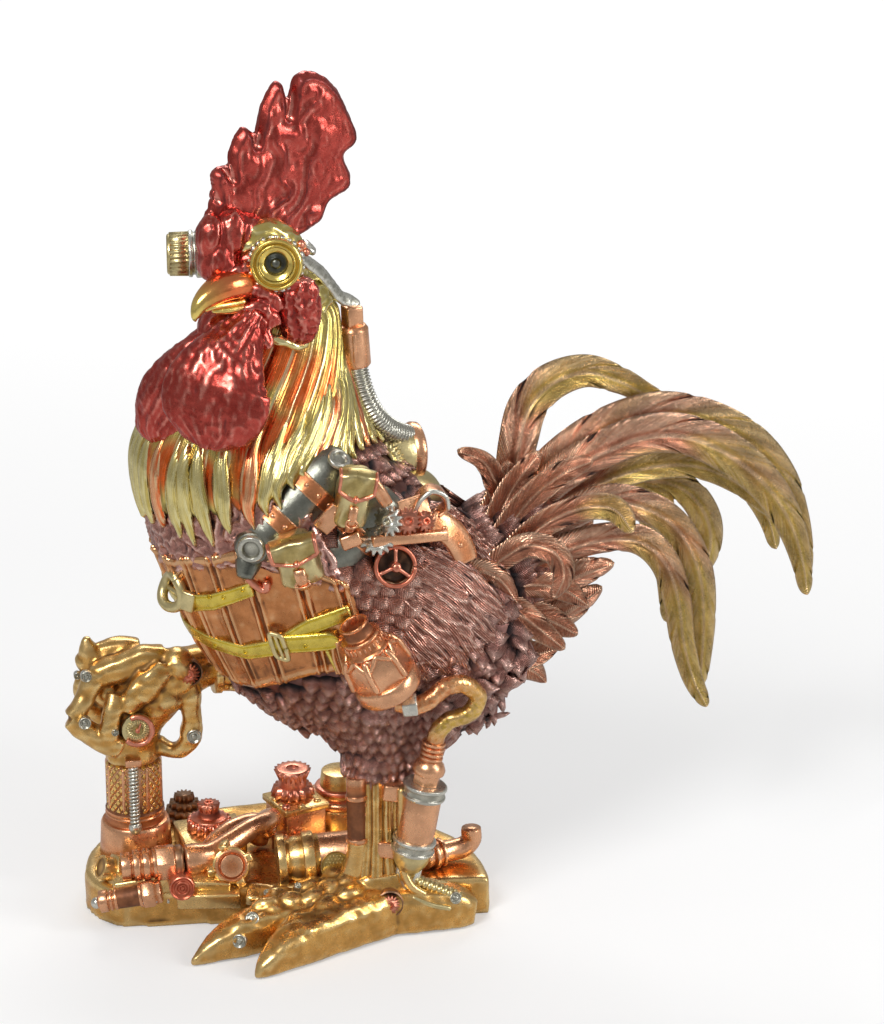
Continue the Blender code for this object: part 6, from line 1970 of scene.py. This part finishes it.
def silver_strap(bm):
    """The strap from the eyepiece down the back of the neck, and the far eyepiece's ring."""
    place = standing(NEAR_EYE, NEAR_AXIS)
    for step in range(26):
        angle = 2 * math.pi * step / 26
        stud(bm, place @ on_ring(9.1, angle, 5.4), place.to_3x3() @ on_ring(1, angle, 0.5),
             0.85 + 0.25 * scatter(step))
    limb(bm, [(3, -14.5, 238, 1.6, 0.9), (6.4, -11.8, 234.4, 2.2, 1), (11.2, -8.4, 229.4, 2.3, 1),
              (14.6, -5.6, 224.4, 2.2, 1), (17.8, -3.4, 219.6, 2.2, 1), (21.6, -1.2, 217, 2.3, 0.9),
              (25.2, 0, 215.4, 0.8, 0.6)], (0.55, -0.75, 0.35), 40, 16, 3)
    limb(bm, [(8, -3, 235.5, 2.4, 1.1), (8.2, 4, 235.6, 2.4, 1.1), (2.2, 9.4, 236, 2.4, 1.1),
              (-8, 10.6, 236, 2.4, 1.1), (-18, 9, 235, 2.4, 1.1)], (0.5, 0.6, 0.6), 36, 16, 3)
    turned(bm, (-27, 9.4, 232.5), FAR_AXIS, ((-0.6, 7), (0, 8.2), (1.6, 8.3), (2.2, 7.2), (2.8, 7.2),
                                             (3.2, 7.9), (4.2, 7.9), (4.6, 6.9)), 40, 0.15)
    return press(mesh_of(bm, "strap"), lambda points: 0.22 * grain(points, 1.3, 3))


def hose(bm):
    """The corrugated hose."""
    rings = 31
    tube(bm, [(23.4, -1, 195, 3.7), (24.4, -2.2, 189.5, 3.7), (26.1, -3.2, 183.1, 3.8),
              (29, -2.4, 177, 3.8),
              (32.7, 0, 171.8, 3.8), (37.2, 3, 167.8, 3.8), (42.4, 7, 164.6, 3.8)], 28, rings * 8,
         lambda along, around: 0.32 * np.cos(2 * math.pi * rings * along))


def drum(bm):
    """The brass drum on the back, which the hose enters."""
    turned(bm, (31, 6.5, 158.8), DRUM_AXIS, ((-1, 7.6), (1.4, 9.2), (4, 10), (10, 10.2),
                                             (13.4, 9.4)), 44, 0.4)
    ball(bm, (42, 4, 146), (12, 9, 9), (0, 20, 0))


bm = bmesh.new()
turned(bm, (23.3, 0, 193.8), (-0.06, -0.02, 0.99), ((0, 4.9), (0.6, 5.5), (13.2, 5.4), (14.6, 4.4)), 36,
       0.2)
box(bm, (22.4, -0.6, 211.4), (5.8, 6, 7.6), (2, -3, 20), 0.5)
box(bm, (22.6, -5.4, 201.4), (1.3, 1.2, 10), (1, -3, 10), 0.3)
turned(bm, (43.6, 9.2, 158.2), DRUM_AXIS, ((-1.6, 9.8), (0, 10.6), (2, 10.4), (3, 8.8),
                                           (2.2, 7.6)), 44, 0.2)
turned(bm, (42.8, 10.4, 156.5), (0.1, 0, 1), ((0, 5.2), (4.2, 5), (5, 4.2)), 30, 0.2)
piece("hose_fittings", bm, bright_copper)
piece("breathing_hose", hose, old_silver, reach=0.3)
piece("back_drum", drum, brass_gold)
bm = bmesh.new()
gear(bm, (33, -1.5, 159.4), RING_AXIS, 26, 7.4, 6.4, 3, 0.96)
turned(bm, (31.8, -3.9, 159.6), RING_AXIS, ((0, 5.6), (1.8, 5.4), (2.2, 4.4), (1.4, 3.8)), 32, 0.2)
gear(bm, (-31.4, 9.6, 232.5), FAR_AXIS, 26, 7.5, 6.8, 6.4, 0.98)
turned(bm, (-37.4, 10, 232.5), FAR_AXIS, ((0, 7), (1, 6.7), (1.3, 5.9), (0.8, 5.2)), 40, 0.15)
piece("knurled_rings", bm, brass_gold)
piece("near_eyepiece", near_eyepiece, beak_gold, reach=0.2)
piece("goggle_copper", goggle_copper, bright_copper)
piece("goggle_strap", silver_strap, old_silver, reach=0.2)
bm = bmesh.new()
turned(bm, (-4.75, -20.4, 237.1), NEAR_AXIS, ((0, 3.9), (0.5, 3.4), (0.8, 1.8), (1.6, 1.3), (1.9, 0.6)), 32,
       0.1)
piece("near_pupil", bm, gunmetal, reach=0.2)
bm = bmesh.new()
for x, y, z in ((4.2, -13.4, 241), (6, -12.4, 238), (3.2, -13.6, 238.2)):
    stud(bm, (x, y, z), (0.4, -0.9, 0.3), 1.5, 0.9)
piece("goggle_rivets", bm, red_copper, reach=0.2)

# The stage: a pale studio floor, a large soft light above to the left, a narrower one from
# the right, and a pale room round them. The camera stands where the photograph's stood.


def soft_light(name, place, aim, power, width, height):
    """A softbox lamp."""
    lamp = bpy.data.lights.new(name, 'AREA')
    lamp.shape = 'RECTANGLE'
    lamp.size, lamp.size_y, lamp.energy = width, height, power
    made = put(name, lamp)
    made.location = place
    made.rotation_euler = (Vector(aim) - Vector(place)).to_track_quat('-Z', 'Y').to_euler()


bm = bmesh.new()
bmesh.ops.create_grid(bm, x_segments=1, y_segments=1, size=6)
floor = put("studio_floor", mesh_of(bm, "studio_floor"))
floor.location.z = -0.0002
floor_paint = bpy.data.materials.new("studio_floor")
floor_paint.use_nodes = True
tree = floor_paint.node_tree
shader = tree.nodes["Principled BSDF"]
shader.inputs["Base Color"].default_value = (0.62, 0.62, 0.62, 1)
shader.inputs["Roughness"].default_value = 0.9
shader.inputs["Emission Color"].default_value = (1, 1, 1, 1)
seen = node(tree, "ShaderNodeLightPath").outputs["Is Camera Ray"]
far = node(tree, "ShaderNodeVectorMath", operation='LENGTH')
tree.links.new(node(tree, "ShaderNodeTexCoord").outputs["Object"], far.inputs[0])
haze = between(tree, far.outputs["Value"], 0.2, 1.6)
glow = maths(tree, 'ADD', 0.33, maths(tree, 'MULTIPLY', haze, 0.42))
tree.links.new(maths(tree, 'MULTIPLY', seen, glow), shader.inputs["Emission Strength"])
floor.data.materials.append(floor_paint)

room = bpy.data.worlds.new("studio_room")
bpy.context.scene.world = room
room.use_nodes = True
room.node_tree.nodes["Background"].inputs["Color"].default_value = (1, 1, 1, 1)
room.node_tree.nodes["Background"].inputs["Strength"].default_value = 0.32

soft_light("key_light", (-0.55, -0.75, 1.05), (0.03, 0, 0.13), 9.5, 0.5, 0.4)
soft_light("side_light", (0.9, -0.5, 0.55), (0.05, 0, 0.13), 5, 0.2, 0.7)
soft_light("back_light", (0.2, 0.9, 0.9), (0.05, 0, 0.15), 5, 0.8, 0.3)

view_point = bpy.data.cameras.new("photo_camera")
camera = put("photo_camera", view_point)
camera.location = (-0.1029, -1.1094, 0.5690)
camera.rotation_euler = (Vector((0.053, 0, 0.139)) - camera.location).to_track_quat('-Z', 'Y').to_euler()
view_point.sensor_width = 36
view_point.lens = 122.3
view_point.clip_start, view_point.clip_end = 0.05, 30
bpy.context.scene.camera = camera
bpy.context.scene.view_settings.view_transform = 'Standard'
